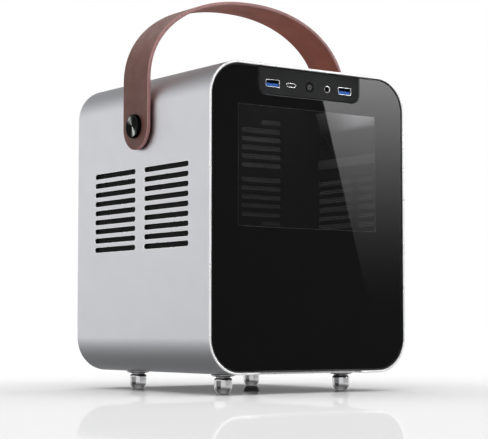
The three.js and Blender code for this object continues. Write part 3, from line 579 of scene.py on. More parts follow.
FOOT_X, FOOT_Y = 56.3, 60.0
FOOT_PROFILE = [
    (0, 0), (3.9, 0), (4.9, 0.7), (6.45, 3.4), (6.7, 5.0), (6.7, 10.2), (6.35, 11.2), (5.3, 11.6),
    (5.3, 12.3), (8.2, 12.9), (9.0, 13.3), (9.0, 14.3), (0, 14.3),
]
for end, y in (("front", -FOOT_Y), ("rear", FOOT_Y)):
    for side, x in (("left", -FOOT_X), ("right", FOOT_X)):
        m = Maker()
        turned(m, softened(FOOT_PROFILE, 0.9, 4), "z", x, y, 56)
        name = f"foot_{end}_{side}"
        piece(f"turned_{name}", m, [CHROME], 60, name)

# ---- Strap ----

STRAP_HALF, STRAP_THICK, STRAP_OUT, STRAP_EDGE = 18.0, 2.8, 97.2, 0.7
ARCH_START, ARCH_TOP, ARCH_POWER, ARCH_STEPS = 238.0, 308.0, 2.15, 400
CAP_STEPS, MIDDLE_STEPS = 14, 150
SCREW_OUT = 97.4


def strap_path():
    """The outer face from end to end over the top, as (x, z, distance from each end)."""
    left = []
    for k in range(ARCH_STEPS):
        a = math.pi / 2 * (1 - k / ARCH_STEPS)
        x = -STRAP_OUT * math.sin(a) ** (2 / ARCH_POWER)
        z = ARCH_START + (ARCH_TOP - ARCH_START) * max(0.0, math.cos(a)) ** (2 / ARCH_POWER)
        left.append((x, z))
    half = [(-STRAP_OUT, PIVOT_Z - STRAP_HALF), *left]
    dense = [*half, (0.0, ARCH_TOP), *[(-x, z) for x, z in reversed(half)]]
    lengths = [0.0]
    for p, q in zip(dense, dense[1:]):
        lengths.append(lengths[-1] + math.dist(p, q))
    total = lengths[-1]
    cap = [STRAP_HALF * (1 - math.cos(math.pi / 2 * k / CAP_STEPS)) for k in range(1, CAP_STEPS + 1)]
    straight = total - 2 * STRAP_HALF
    middle = [STRAP_HALF + straight * k / MIDDLE_STEPS for k in range(1, MIDDLE_STEPS)]
    wanted = [0.02, *cap, *middle, *[total - d for d in reversed(cap)], total - 0.02]
    out = []
    i = 0
    for s in wanted:
        while lengths[i + 1] < s:
            i += 1
        t = (s - lengths[i]) / max(1e-9, lengths[i + 1] - lengths[i])
        p, q = dense[i], dense[i + 1]
        out.append((p[0] + (q[0] - p[0]) * t, p[1] + (q[1] - p[1]) * t, s, total - s))
    return out


def carrying_strap():
    m = Maker()
    path = strap_path()
    rings = []
    for i, (x, z, s, back) in enumerate(path):
        p, q = path[max(0, i - 1)], path[min(len(path) - 1, i + 1)]
        along = Vector((q[0] - p[0], q[1] - p[1])).normalized()
        inward = Vector((along.y, -along.x))
        d = min(s, back, STRAP_HALF)
        half = math.sqrt(max(1e-4, STRAP_HALF**2 - (STRAP_HALF - d) ** 2))
        section = rounded(-half, half, 0, STRAP_THICK, min(STRAP_EDGE, half * 0.4), 4)
        rings.append(m.ring([(x + inward.x * t, y, z + inward.y * t) for y, t in section]))
    # A section has five points at each corner. Its outer face follows point 4, its inner face 14.
    outer_face, inner_face = 4, 14
    count = len(rings[0])
    for a, b in zip(rings, rings[1:]):
        for k in range(count):
            j = (k + 1) % count
            m.face((a[k], a[j], b[j], b[k]), {outer_face: 0, inner_face: 2}.get(k, 1))
    m.face(rings[0], 1)
    m.face(rings[-1][::-1], 1)
    finishes = [LEATHER, LEATHER_EDGE, LEATHER_BACK]
    return piece("leather_strap", m, finishes, 50, "handle_strap", "handle")


def strap_screw(name, side):
    m = Maker()
    head = [(0, 100.25), (0.5, 100.2), (8.3, 100.4), (8.75, 100.36), (9.13, 100.1), (9.25, 99.7)]
    shank = [(9.25, SCREW_OUT), (4, SCREW_OUT), (4, 93.2), (2.9, 93.2), (2.9, 85.2), (0, 85.2)]
    spun_faces, plain_faces = 2, 9
    finishes = [0] * spun_faces + [1] * plain_faces
    turned(m, [(r, side * x) for r, x in [*head, *shank]], "x", 0.0, PIVOT_Z, 96, finishes)
    return piece(
        f"{name}_turned", m, [SPUN, BLACK_METAL], 30, name,
        origin=(side * SCREW_OUT, 0, PIVOT_Z),
    )


strap = carrying_strap()
strap_screws = {
    side: strap_screw(f"handle_screw_{name}", side) for name, side in (("left", -1), ("right", 1))
}

# ---- Glass ----

BAY_HALF, BAY_Z, BAY_ROUND, BAY_LIP = 48.0, 221.7, 7.0, 0.8
WINDOW = rounded(-65.6, 65.6, 123.0, 213.3, 1.2, 4)


def glass_outline(gap):
    """The pane's outline with the bay for the ports taken out of its top edge."""
    inset = WALL + 0.5 + gap
    right, low, high = HALF_W - inset, LOW + inset, HIGH - inset
    radius = CORNER - inset
    bay_x, bay_z = BAY_HALF + gap, BAY_Z - gap
    return [
        *arc(radius - right, low + radius, radius, 180, 270, 24),
        *arc(right - radius, low + radius, radius, 270, 360, 24),
        *arc(right - radius, high - radius, radius, 0, 90, 24),
        *arc(bay_x + BAY_LIP, high - BAY_LIP, BAY_LIP, 90, 180, 4),
        *arc(bay_x - BAY_ROUND, bay_z + BAY_ROUND, BAY_ROUND, 0, -90, 12),
        *arc(BAY_ROUND - bay_x, bay_z + BAY_ROUND, BAY_ROUND, -90, -180, 12),
        *arc(-bay_x - BAY_LIP, high - BAY_LIP, BAY_LIP, 0, 90, 4),
        *arc(radius - right, high - radius, radius, 90, 180, 24),
    ]


def front_glass():
    m = Maker()
    plate(m, glass_outline(0.0), [], "y", GLASS_FRONT, GLASS_BACK, 0.55, 1, finishes=(0, 1, 1))
    piece("glass_pane", m, [GLASS, GROUND_EDGE], 30, "front_glass", "front_panel")
    m = Maker()
    plate(m, glass_outline(0.75), [WINDOW], "y", GLASS_BACK - 0.35, GLASS_BACK - 0.2, 0.03, 1)
    piece("glass_print", m, [PRINT], 30, body="front_panel")
    m = Maker()
    trim = [grown(WINDOW, -0.3)]
    plate(m, grown(WINDOW, 0.3), trim, "y", GLASS_BACK - 0.15, GLASS_BACK + 0.5, 0.12, 2)
    piece("window_trim", m, [TRIM], 40, body="front_panel")


front_glass()

# ---- Front ports ----


def port_plate():
    m = Maker()
    outline = rounded(-47.6, 47.6, 222.1, 242.2, [6.6, 6.6, 0.3, 0.3], 10)
    holes = [centred(x, PORT_Z, 6.56, 2.91, 0.7, 4) for x in (-USB_X, USB_X)]
    holes.append(centred(-PORT_PITCH, PORT_Z, 4.53, 1.69, 1.65, 8))
    holes.append(disc(0, PORT_Z, 3.95, 48))
    holes.append(disc(PORT_PITCH, PORT_Z, 2.96, 40))
    plate(m, outline, holes, "y", PLATE_FRONT, PLATE_BACK, 0.35, 3, hole_bevel=0.05)
    well = [(3.9, -91.8), (3.9, -90.3), (3.48, -90.3), (3.48, -91.8), (3.9, -91.8)]
    turned(m, well, "y", 0, PORT_Z, 48)
    piece("port_plate_moulding", m, [PLATE_FINISH], 50, "port_plate")


def barrel(maker, outer, face, sign, length, hollow, wall):
    """A blind tube along y with its mouth at face. Finish 0 is its walls, 1 its rim, 2 its floor."""
    lip = 0.3 * wall
    levels = [(0, length), (0, lip), (lip, 0), (wall - lip, 0), (wall, lip), (wall, hollow)]
    chain = [maker.ring([(a, face + sign * t, b) for a, b in grown(outer, -i)]) for i, t in levels]
    for a, b, finish in zip(chain, chain[1:], (0, 1, 1, 1, 0)):
        maker.bridge(a, b, finish)
    maker.fill([chain[0]], 1, 0)
    maker.fill([chain[-1]], 1, 2)


def contact_row(maker, middle, count, pitch, half, y0, y1, z0, z1, bevel):
    for k in range(count):
        x = middle + (k - (count - 1) / 2) * pitch
        block(maker, x - half, x + half, y0, y1, z0, z1, bevel)


def usb_a(x, side):
    f = SOCKET_FRONT
    m = Maker()
    barrel(m, centred(x, PORT_Z, 6.5, 2.85, 0.7, 4), f, 1, 14, 12.5, 0.45)
    finishes = [STEEL, BRIGHT_RIM, PLASTIC]
    piece(f"usb_socket_{side}", m, finishes, 40, f"usb_shell_{side}")
    low, high = PORT_Z - 2.38, PORT_Z + 0.1
    m = Maker()
    block(m, x - 5.75, x + 5.75, f + 0.7, f + 12.3, low, high, 0.22)
    piece(f"usb_insert_{side}", m, [BLUE], 50, f"usb_tongue_{side}")
    m = Maker()
    contact_row(m, x, 4, 2.333, 0.5, f + 1.6, f + 9, high - 0.02, high + 0.06, 0.02)
    piece(f"usb_contacts_{side}", m, [GOLD])


def usb_c():
    m = Maker()
    x, f = -PORT_PITCH, SOCKET_FRONT
    barrel(m, centred(x, PORT_Z, 4.47, 1.63, 1.6, 8), f, 1, 8, 6.5, 0.5)
    block(m, x - 4.5, x + 4.5, f + 4.6, f + 8, PORT_BOARD_TOP, PORT_Z - 1.7, 0.1)
    piece("usb_c_barrel", m, [STEEL, BRIGHT_RIM, PLASTIC], 40, "usb_c_socket")
    m = Maker()
    block(m, x - 3.3, x + 3.3, f + 1.4, f + 6.4, PORT_Z - 0.33, PORT_Z + 0.33, 0.12)
    piece("usb_c_tongue", m, [PLASTIC])


def audio_jack():
    m = Maker()
    x, f = PORT_PITCH, SOCKET_FRONT
    profile = [
        (0, -77.2), (2.9, -77.2), (2.9, -88), (2.9, f + 0.15), (2.72, f), (2.42, f), (2.25, f + 0.15),
        (1.8, f + 0.5), (1.75, -79), (0, -79),
    ]
    turned(m, profile, "y", x, PORT_Z, 40, [0, 0, 0, 1, 1, 1, 0, 0, 0])
    piece("jack_barrel", m, [PLASTIC, BRIGHT_RIM], 40, "audio_jack")
    m = Maker()
    block(m, x - 3.2, x + 3.2, -89, -77, PORT_BOARD_TOP, PORT_Z - 3.1, 0.2)
    piece("jack_base", m, [PLASTIC])


def power_button():
    m = Maker()
    face = PLATE_FRONT - 0.3
    profile = [
        (0, face + 0.35), (2.1, face + 0.3), (2.8, face + 0.12), (3.05, face), (3.25, face + 0.05),
        (3.4, face + 0.35), (3.4, -89.4), (1.4, -89.4), (1.4, -86.4), (0, -86.4),
    ]
    turned(m, profile, "y", 0, PORT_Z, 56)
    piece("button_cap", m, [BUTTON], 40, "power_button", "power_button")
    # The symbol: a ring open at the top, and a bar in the opening.
    m = Maker()
    front, back = face + 0.24, face + 0.5
    inner, outer = (arc(0, PORT_Z, radius, 128, 412, 28) for radius in (1.25, 1.6))
    rings = [
        m.ring([(x, front, z), (u, front, w), (u, back, w), (x, back, z)])
        for (x, z), (u, w) in zip(inner, outer)
    ]
    m.loft(rings)
    m.face(rings[0])
    m.face(rings[-1])
    block(m, -0.17, 0.17, front, back, PORT_Z + 0.35, PORT_Z + 1.9, 0.04)
    piece("button_symbol", m, [LEGEND], body="power_button")


port_plate()
usb_a(-USB_X, "left")
usb_a(USB_X, "right")
usb_c()
audio_jack()
power_button()

# ---- Cross plate in the window ----


def vent_loops(x, z, sides):
    """Slots in rows above and below z, on the given sides of x, with the outermost row shorter."""
    loops = []
    for side in sides:
        for up in (-1, 1):
            for row in range(6):
                reach = 24 if row == 5 else 44
                near, far = sorted((x + side * 3.5, x + side * reach))
                loops.append(stadium(near, far, z + up * (5.9 + row * 7.1), 4.2, 4))
    return loops


def cross_plate():
    m = Maker()
    outline = rounded(-88.5, 88.5, 118, 236, [2, 2, 22, 22], 8)
    plate(m, outline, vent_loops(52, 175.6, (-1,)), "y", 8.0, 9.5, 0.25, 1)
    for side in (-1, 1):
        x0, x1 = sorted((side * 88.5, side * 87.0))
        block(m, x0, x1, 9.3, 20, 122, 194, 0.2)
    piece("cross_plate", m, [POWDER], 50, "drive_plate")
    m = Maker()
    block(m, 86.7, 88.4, -85.9, 8.2, 180.7, 188.6, 0.3)
    piece("wall_rail", m, [RAIL])
    m = Maker()
    plate(m, rounded(4, 54, 130, 222, 1, 2), [], "y", 9.6, 9.75, 0.03, 1)
    piece("cross_plate_mesh", m, [SCREEN])


cross_plate()

for name, x in (("left", -90.85), ("right", 90.85)):
    m = Maker()
    plate(m, rounded(-71, 71, 106.5, 173.5, 2, 3), [], "x", x - 0.1, x + 0.1, 0.03, 1)
    piece(f"slot_screen_{name}", m, [DUST_SCREEN])

# ---- Back ----


def rear_panel():
    """The back plate, open round the socket shield, the card slot and the power supply."""
    m = Maker()
    holes = [
        rounded(-70.2, 88.55, 66.6, 111.05, 0.3, 2),
        rounded(-87.6, -73.4, 78, 178, 1, 4),
        rounded(-38.5, 38.5, 19.5, 56, 2, 4),
    ]
    holes += [disc(x, z, 2.3, 20) for x, z in CHANNELS]
    holes += vent_loops(EXHAUST_X, EXHAUST_Z, (-1, 1))
    inset = WALL + 0.4
    outline = centred(0, MIDDLE_Z, HALF_W - inset, HALF_H - inset, CORNER - inset, 20)
    plate(m, outline, holes, "y", REAR_INNER, REAR_FACE, 0.25, 2)
    piece("back_panel", m, [POWDER], 50, "rear_panel")


def screw_head(maker, x, z, y, radius, high, shank=0.0):
    """A button head standing on level y, with a round socket, and its shank behind."""
    socket = radius * 0.4
    start = [(0, y - shank), (1.3, y - shank), (1.3, y + 0.1)] if shank else [(0, y + 0.1)]
    profile = [
        *start, (radius, y + 0.1), (radius, y + 0.62 * high), (radius * 0.86, y + 0.9 * high),
        (radius * 0.68, y + high), (socket, y + high), (socket, y + 0.4 * high), (0, y + 0.35 * high),
    ]
    turned(maker, profile, "y", x, z, 36)


def screw_set(name, places, y, radius, high):
    m = Maker()
    for x, z in places:
        screw_head(m, x, z, y, radius, high)
    piece(name, m, [BLACK_METAL], 40)


rear_panel()
for k, (x, z) in enumerate(CHANNELS):
    m = Maker()
    screw_head(m, x, z, REAR_FACE, 3.2, 2.0, 10.0)
    piece(f"panel_screw_{k + 1}", m, [BLACK_METAL], 40, f"rear_screw_{k + 1}")
fan_corners = four_corners(EXHAUST_X, EXHAUST_Z, EXHAUST_SCREW, EXHAUST_SCREW)
screw_set("fan_screws", fan_corners, REAR_FACE, 3.4, 1.7)

# Each stack of rear sockets: its sides, its height above the board, and its openings.
ON_BOARD, STACK_FACE, STACK_DEPTH, SOCKET_DEPTH = 70.6, 91.4, 18.0, 11.0
USB_LEFT, USB_RIGHT = 22.2, 34.4
STACKS = {
    "video_stack": (-8, 10, 19, [("slanted", -6, 8, 2.4, 7.2), ("notched", -6.5, 8.5, 11.6, 16.6)]),
    "network_stack": (20, 36.6, 30, [
        ("usb", USB_LEFT, USB_RIGHT, 1.6, 6.8),
        ("usb", USB_LEFT, USB_RIGHT, 9, 14.2),
        ("network", USB_LEFT, USB_RIGHT, 17.8, 27.2),
    ]),
    "usb_stack": (44, 58.6, 16.4, [("usb", 45.2, 57.4, 1.6, 6.8), ("usb", 45.2, 57.4, 9.6, 14.8)]),
}
AUDIO_X0, AUDIO_X1, AUDIO_HIGH = 68.0, 81.0, 34.0


def opening_loop(kind, x0, x1, z0, z1):
    if kind == "slanted":
        return [(x0 + 2, z0), (x1 - 2, z0), (x1, z0 + 1.8), (x1, z1), (x0, z1), (x0, z0 + 1.8)]
    if kind == "notched":
        return [(x0 + 1.6, z0), (x1, z0), (x1, z1), (x0, z1), (x0, z0 + 1.6)]
    return rounded(x0, x1, z0, z1, 0.4, 3)


def stack_body(maker, x0, x1, high, loops, radius, bevel, hole_bevel):
    """A housing on the board: its open front, and its closed back."""
    face, top = STACK_FACE, ON_BOARD + high
    outline = rounded(x0, x1, ON_BOARD, top, radius, 2)
    plate(maker, outline, loops, "y", face - SOCKET_DEPTH, face, bevel, 2, hole_bevel=hole_bevel)
    block(maker, x0, x1, face - STACK_DEPTH, face - SOCKET_DEPTH + 0.1, ON_BOARD, top, 0.2)


def rear_stack(name, x0, x1, high, openings):
    face = STACK_FACE
    body, tongues, contacts = Maker(), Maker(), Maker()
    loops = []
    for kind, a, b, low, top in openings:
        low, top = ON_BOARD + low, ON_BOARD + top
        middle, half_way = (a + b) / 2, (low + top) / 2
        loops.append(opening_loop(kind, a, b, low, top))
        barrel(body, grown(loops[-1], -0.03), face + 0.1, -1, SOCKET_DEPTH, 9, 0.45)
        if kind == "usb":
            block(tongues, a + 1, b - 1, face - 9, face - 0.8, low + 2.7, top - 0.7, 0.2, 0)
            row = (4, 2.3, 0.5, face - 8, face - 1.6, low + 2.62, low + 2.72, 0.02)
        elif kind == "network":
            block(tongues, a + 0.8, b - 0.8, face - 9, face - 2, top - 2.6, top - 0.5, 0.15, 1)
            row = (8, 1.02, 0.2, face - 8.6, face - 2.4, top - 3.2, top - 2.7, 0.05)
        else:
            block(tongues, a + 2.4, b - 2.4, face - 9, face - 1, half_way - 0.45, half_way + 0.45, 0.1, 1)
            row = (9, 1.0, 0.2, face - 8, face - 1.4, half_way - 0.52, half_way - 0.42, 0.02)
        contact_row(contacts, middle, *row)
    stack_body(body, x0, x1, high, loops, 0.4, 0.15, 0.05)
    piece(f"{name}_housing", body, [STEEL, BRIGHT_RIM, PLASTIC], 40, name)
    piece(f"{name}_tongues", tongues, [BLUE, PLASTIC])
    piece(f"{name}_contacts", contacts, [GOLD])


def network_lights():
    m = Maker()
    y, z, width = STACK_FACE, ON_BOARD + 27.9, 3.2
    for x, finish in ((USB_LEFT, 0), (USB_RIGHT - width, 1)):
        block(m, x, x + width, y - 1, y + 0.12, z, z + 1.4, 0.1, finish)
    piece("network_lights", m, [LED_GREEN, LED_AMBER])


def audio_stack():
    m, middle = Maker(), (AUDIO_X0 + AUDIO_X1) / 2
    heights = [ON_BOARD + z for z in (6.5, 17, 27.5)]
    stack_body(m, AUDIO_X0, AUDIO_X1, AUDIO_HIGH, [disc(middle, z, 3.5) for z in heights], 0.5, 0.2, 0.2)
    piece("audio_stack_housing", m, [PLASTIC], 40, "audio_stack")
    y = STACK_FACE
    profile = [
        (0, y - SOCKET_DEPTH), (3.45, y - SOCKET_DEPTH), (3.45, y + 0.35), (3.25, y + 0.6),
        (2.3, y + 0.6), (2.05, y + 0.35), (1.95, y - 9), (0, y - 9),
    ]
    for k, (z, finish) in enumerate(zip(heights, JACK_COLORS)):
        m = Maker()
        turned(m, profile, "y", middle, z, 40, [0, 0, 0, 0, 0, 1, 1])
        piece(f"audio_ring_{k + 1}", m, [finish, PLASTIC], 40)


def stamped_shield():
    """The thin plate round the rear sockets: formed rims, two round openings and pressed ribs."""
    m = Maker()
    base, top = REAR_INNER, REAR_INNER + 0.8
    stacks = [(x0, x1, high) for x0, x1, high, _ in STACKS.values()] + [(AUDIO_X0, AUDIO_X1, AUDIO_HIGH)]
    gap = 0.3
    cuts = [
        rounded(x0 - gap, x1 + gap, ON_BOARD - gap, ON_BOARD + high + gap, 0.4, 2) for x0, x1, high in stacks
    ]
    rounds = [disc(-30, z, 3.2) for z in (80, 96)]
    plate(m, rounded(-69.9, 88.25, 66.9, 110.75, 0.5, 2), [*cuts, *rounds], "y", base, top, 0.1, 2)

    def raised(outer, holes, proud, bevel, segments):
        plate(m, outer, holes, "y", top - 0.1, top + proud, bevel, segments)

    for loop in cuts:
        raised(grown(loop, 0.9), [grown(loop, 0.02)], 0.28, 0.12, 2)
    for loop in rounds:
        raised(grown(loop, 1.5), [loop], 0.5, 0.18, 2)
    for k in range(4):
        raised(stadium(-64, -42, 77 + 8.4 * k, 3.0), [], 0.25, 0.22, 3)
    for z in (73.2, 78.2, 83.2):
        raised(stadium(-17, -11, z, 2.2), [], 0.2, 0.18, 3)
    piece("stamped_shield", m, [SHIELD], 40, "io_shield")


def card_cover():
    """The blank over the card slot: a pressed bead down its middle and a bent tab on top."""
    m = Maker()
    back = REAR_INNER - 0.2
    plate(m, rounded(-89.2, -71.4, 73, 187, 1, 4), [], "y", back - 0.9, back, 0.15, 2)
    block(m, -89.2, -71.4, back - 9, back, 186, 187, 0.2)
    bead = rounded(-83.6, -77.4, 88, 168, 3.0, 8)
    plate(m, bead, [grown(bead, -1.1)], "y", back - 0.1, back + 0.5, 0.3, 3)
    piece("card_cover", m, [SHIELD], 40, "slot_cover")


def supply_guard():
    """A wire guard over the supply fan: four rings on four spokes."""
    m = Maker()
    y, wire = SUPPLY_BACK + 0.75, 0.55
    for radius in (5.5, 9.5, 13.5, 17.5):
        section = disc(radius, y, wire, 8)
        turned(m, [*section, section[0]], "y", SUPPLY_FAN_X, SUPPLY_Z, 56)
    for c, s in disc(0, 0, 1, 4):
        along, across = Vector((c - s, c + s)) * math.sqrt(0.5), Vector((-c - s, c - s)) * math.sqrt(0.5)
        rings = []
        for reach in (5.2, 22.0):
            spots = [(along * reach + across * side, out) for side, out in disc(0, y - 0.35, wire, 8)]
            rings.append(m.ring([(SUPPLY_FAN_X + at.x, out, SUPPLY_Z + at.y) for at, out in spots]))
        m.bridge(*rings)
        m.face(rings[0])
        m.face(rings[1])
    piece("supply_guard", m, [STEEL], 60)


def mains_inlet():
    face, x, z = SUPPLY_BACK + 2.6, INLET_X, SUPPLY_Z
    half_x, half_z = 13.2, 9.6
    m = Maker()
    inner = centred(x, z, 12, 8, [0.6, 0.6, 4, 4], 5)
    plate(m, centred(x, z, half_x, half_z, 1, 3), [inner], "y", face - 16, face, 0.4, 3, hole_bevel=0.3)
    block(m, x - half_x, x + half_x, face - 20, face - 15.9, z - half_z, z + half_z, 0.4)
    piece("inlet_shroud", m, [PLASTIC], 40, "mains_inlet")
    m = Maker()
    for dx, dz in ((-7, -0.8), (7, -0.8), (0, 3.4)):
        block(m, x + dx - 1, x + dx + 1, face - 16.2, face - 3, z + dz - 2, z + dz + 2, 0.35)
    piece("inlet_pins", m, [STEEL])


def rocker_trim():
    """The rocker's bezel, and its two marks on the dished face, which stands tipped by ten degrees."""
    x, z = ROCKER_X, SUPPLY_Z
    m = Maker()
    hole = centred(x, z, 5.5, 8.9, 0.5, 3)
    plate(m, centred(x, z, 6.9, 10.4, 1, 4), [hole], "y", SUPPLY_BACK + 0.05, SUPPLY_BACK + 1.2, 0.3, 2)
    piece("rocker_bezel", m, [PLASTIC], 40)
    m = Maker()
    tip = math.radians(10)
    middle, rise, half = 1.8, 1.6, 7.8

    def on_face(across, along):
        out = middle + rise * abs(along) / half + 0.06
        y = SUPPLY_BACK - 1.6 + out * math.cos(tip) - along * math.sin(tip)
        return (x + across, y, z + out * math.sin(tip) + along * math.cos(tip))

    rings = [m.ring([on_face(a, b) for a, b in disc(0, 4.4, radius, 28)]) for radius in (1.9, 1.35)]
    m.bridge(*rings)
    m.face(m.ring([on_face(a, b) for a, b in ((-0.28, -6.4), (0.28, -6.4), (0.28, -2.6), (-0.28, -2.6))]))
    piece("rocker_marks", m, [MARK], body="mains_rocker")


for name, stack in STACKS.items():
    rear_stack(name, *stack)
network_lights()
audio_stack()
stamped_shield()
card_cover()
supply_guard()
supply_corners = four_corners(SUPPLY_FAN_X, SUPPLY_Z, SUPPLY_SCREW, SUPPLY_SCREW)
screw_set("guard_screws", supply_corners, SUPPLY_BACK + 0.3, 2.5, 1.3)
mains_inlet()
rocker_trim()

# ---- Carried-over CAD nodes ----

CARRIED = [
    (STEEL, ["handle_nut_left", "handle_nut_right", "cpu"]),
    (POWDER, ["front_frame", "board_tray", "supply_case"]),
    (CIRCUIT, ["port_board", "main_board", "m2_drive"]),
    (FINS, ["cooler_heatsink"]),
    (ROTOR, ["exhaust_fan_rotor", "cooler_fan_rotor", "supply_fan_rotor"]),
    (DARK_CASE, ["memory_module_1", "memory_module_2", "flat_drive"]),
    (SLEEVE, ["power_lead", "port_lead"]),
    (PLASTIC, [
        "power_switch", "exhaust_fan_frame", "cooler_fan_frame", "supply_fan_frame", "memory_slot_1",
        "memory_slot_2", "memory_latch_1", "memory_latch_2", "card_slot", "power_socket", "mains_rocker",
    ]),
]
for finish, nodes in CARRIED:
    for node in nodes:
        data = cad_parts[node].data
        data.materials.clear()
        data.materials.append(finish)

# ---- Floor and light ----


def floor():
    """A pale floor, glossy near the object and matt far from it, so it never mirrors the horizon."""
    m = Maker()
    reach, level = 60000.0, -0.05
    m.face(m.ring([(x * reach, y * reach, level) for x, y in ((-1, -1), (1, -1), (1, 1), (-1, 1))]))
    material = bpy.data.materials.new("pale_floor")
    n = Nodes(material)
    n.tree.nodes.clear()
    fresnel = n.node("Fresnel", {"IOR": 1.05}).outputs["Fac"]
    place = n.node("TexCoord").outputs["Object"]
    distance = n.node("VectorMath", {0: place}, operation="LENGTH").outputs["Value"]
    gloss = n.math("MULTIPLY", n.math("MINIMUM", fresnel, 0.33), n.ranged(distance, 1.4, 2.8, 1.0, 0.0))
    matt = n.node("BsdfDiffuse", {"Color": (0.9, 0.9, 0.9, 1)}).outputs["BSDF"]
    shine = n.node("BsdfGlossy", {"Roughness": 0.03}).outputs["BSDF"]
    mix = n.node("MixShader", {"Fac": gloss, 1: matt, 2: shine}).outputs["Shader"]
    n.node("OutputMaterial", {"Surface": mix})
    obj = piece("floor", m, [material], body=None)
    obj.visible_glossy = False


def lamp(name, kind, place, target, energy, only=None, glossy=False, **settings):
    """A light aimed at target. only: the one piece it lights. glossy: reflections show it."""
    data = bpy.data.lights.new(name, kind)
    data.energy = energy
    for key, value in settings.items():
        setattr(data, key, value)
    light = bpy.data.objects.new(name, data)
    light.location = place
    light.rotation_euler = (Vector(target) - Vector(place)).to_track_quat("-Z", "Y").to_euler()
    light.visible_camera = False
    light.visible_glossy = glossy
    scene.collection.objects.link(light)
    if only:
        group = bpy.data.collections.new(f"lit_by_{name}")
        group.objects.link(only)
        light.light_linking.receiver_collection = group


floor()
# Two broad soft lights. Inside, one lamp lights the roof of the upper bay and one its back.
lamp("overhead", "SUN", (0, 0, 2), (0, 0, 0), 3.1, angle=math.radians(90))
lamp("left_fill", "SUN", (-1.6, -1.2, 0.9), (0, 0, 0.1), 0.25, angle=math.radians(70))
lamp(
    "roof_lamp", "AREA", (0.055, -0.0525, 0.2108), (0.055, -0.0525, 0.3), 1.0, only=shell,
    shape="RECTANGLE", size=0.06, size_y=0.065,
)
lamp(
    "bay_lamp", "AREA", (0.01, -0.080, 0.206), (0.01, 0.0, 0.150), 0.045,
    shape="RECTANGLE", size=0.11, size_y=0.012,
)
# The strap's arch catches light from above and behind, and each strap screw has its own small lamp.
lamp(
    "arch_light", "SUN", (0, 0.55, 1.0), (0, 0, 0), 0.85, only=strap, glossy=True, angle=math.radians(60)
)
for side, head in strap_screws.items():
    lamp(
        f"screw_lamp_{head.name}", "AREA", (side * 0.448, 0.70, 0.359), (side * 0.1, 0, PIVOT_Z * MM), 3.0,
        only=head, glossy=True, shape="DISK", size=0.05,
    )


# Brightness of the surroundings by height, from straight down (-1) to straight up (1).
SKY = [
    (-1.0, 0.40), (-0.8, 0.18), (-0.6, 0.10), (-0.3, 0.33), (-0.05, 0.86), (0.1, 0.98), (0.3, 0.82),
    (0.62, 0.21), (1.0, 0.17),
]
# Level directions: ahead of the camera, the same mirrored by the glass, and the mirrored right.
AHEAD, MIRRORED, MIRRORED_RIGHT = (0.582, 0.813, 0.0), (0.582, -0.813, 0.0), (0.813, 0.582, 0.0)
FAR_LEFT = (-0.989, 0.149, 0.0)
PANEL_LIGHT = 3.8


def mirrored_view(x, z):
    """The direction in which the camera sees the surroundings in the glass at (x, z)."""
    ray = Vector((x, GLASS_FRONT, z)) * MM - camera.location
    return Vector((ray.x, -ray.y, ray.z)).normalized()


def panel_edge():
    """The plane through the leaning edge that the glass shows, its normal towards the lit side."""
    low, high, lit = mirrored_view(39.1, 128.2), mirrored_view(12.2, 221.0), mirrored_view(80, 200)
    normal = low.cross(high).normalized()
    return normal if normal.dot(lit) > 0 else -normal


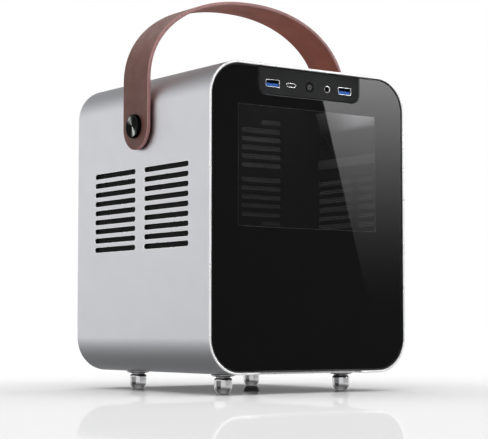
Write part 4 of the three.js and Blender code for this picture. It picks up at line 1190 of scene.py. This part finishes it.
def studio():
    """Soft surroundings: pale walls, a dimmer ceiling, dark on the right front with one tall panel."""
    world = bpy.data.worlds.new("studio")
    scene.world = world
    w = Nodes(world)
    w.tree.nodes.clear()
    smooth = w.ranged
    direction = w.node("TexCoord").outputs["Generated"]

    def facing(vector):
        dot = w.node("VectorMath", {0: direction, 1: vector}, operation="DOT_PRODUCT")
        return dot.outputs["Value"]

    def product(first, *others):
        for other in others:
            first = w.math("MULTIPLY", first, other)
        return first

    up = facing((0, 0, 1))
    stops = [(0.5 + place / 2, (level, level, level)) for place, level in SKY]
    base = w.ramp(w.math("ADD", product(up, 0.5), 0.5), stops)
    dark = smooth(facing(MIRRORED), 0.62, 0.86, 1.0, 0.16)
    # Below the horizon, where only polished metal sees it, the dark side is on the left instead.
    dark = w.math("MAXIMUM", dark, smooth(up, -0.031, -0.028, 1.0, 0.0))
    low_left = product(
        smooth(facing(FAR_LEFT), 0.74, 0.88), smooth(up, -0.02, -0.004, 1.0, 0.0), smooth(up, -0.9, -0.6)
    )
    shaded = product(base, product(dark, smooth(low_left, 0.0, 1.0, 1.0, 0.12)))
    # The tall panel: left of it a straight leaning edge, and its light fades downwards.
    edge = smooth(facing(panel_edge()), -0.0006, 0.0006)
    fade = w.math("POWER", w.math("DIVIDE", w.math("MAXIMUM", up, 0.0), 0.15), 2.6)
    top = smooth(up, 0.30, 0.34, 1.0, 0.0)
    side = smooth(facing(MIRRORED_RIGHT), 0.20, 0.30, 1.0, 0.0)
    front = smooth(facing(MIRRORED), 0.5, 0.7)
    lit = w.math("ADD", shaded, product(edge, fade, top, side, front, PANEL_LIGHT))
    # Behind the object the surroundings dim a little with height, which shades the near floor.
    behind = product(smooth(facing(AHEAD), 0.88, 0.95), smooth(up, 0.026, 0.044, 0.0, 0.5))
    lit = product(lit, w.math("SUBTRACT", 1.0, behind))
    # Matt surfaces get less of the light from the sides, which keeps the shadow under the case dark.
    path = w.node("LightPath").outputs
    taken = product(path["Is Diffuse Ray"], smooth(up, 0.0, 0.7, 0.78, 0.0))
    lit = product(lit, w.math("SUBTRACT", 1.0, taken))
    # Light that has bounced twice and still comes from below would come from the floor in shadow.
    buried = product(smooth(path["Ray Depth"], 2.4, 2.6), smooth(up, -0.004, 0.0, 1.0, 0.0))
    lit = product(lit, smooth(buried, 0.0, 1.0, 1.0, 0.06))
    # The camera itself sees plain white.
    inputs = {"Factor": path["Is Camera Ray"], 2: lit, 3: 1.0}
    strength = w.node("Mix", inputs, data_type="FLOAT").outputs[0]
    background = w.node("Background", {"Color": (1, 1, 1, 1), "Strength": strength})
    w.node("OutputWorld", {"Surface": background.outputs[0]})


studio()
scene.view_settings.view_transform = "Standard"
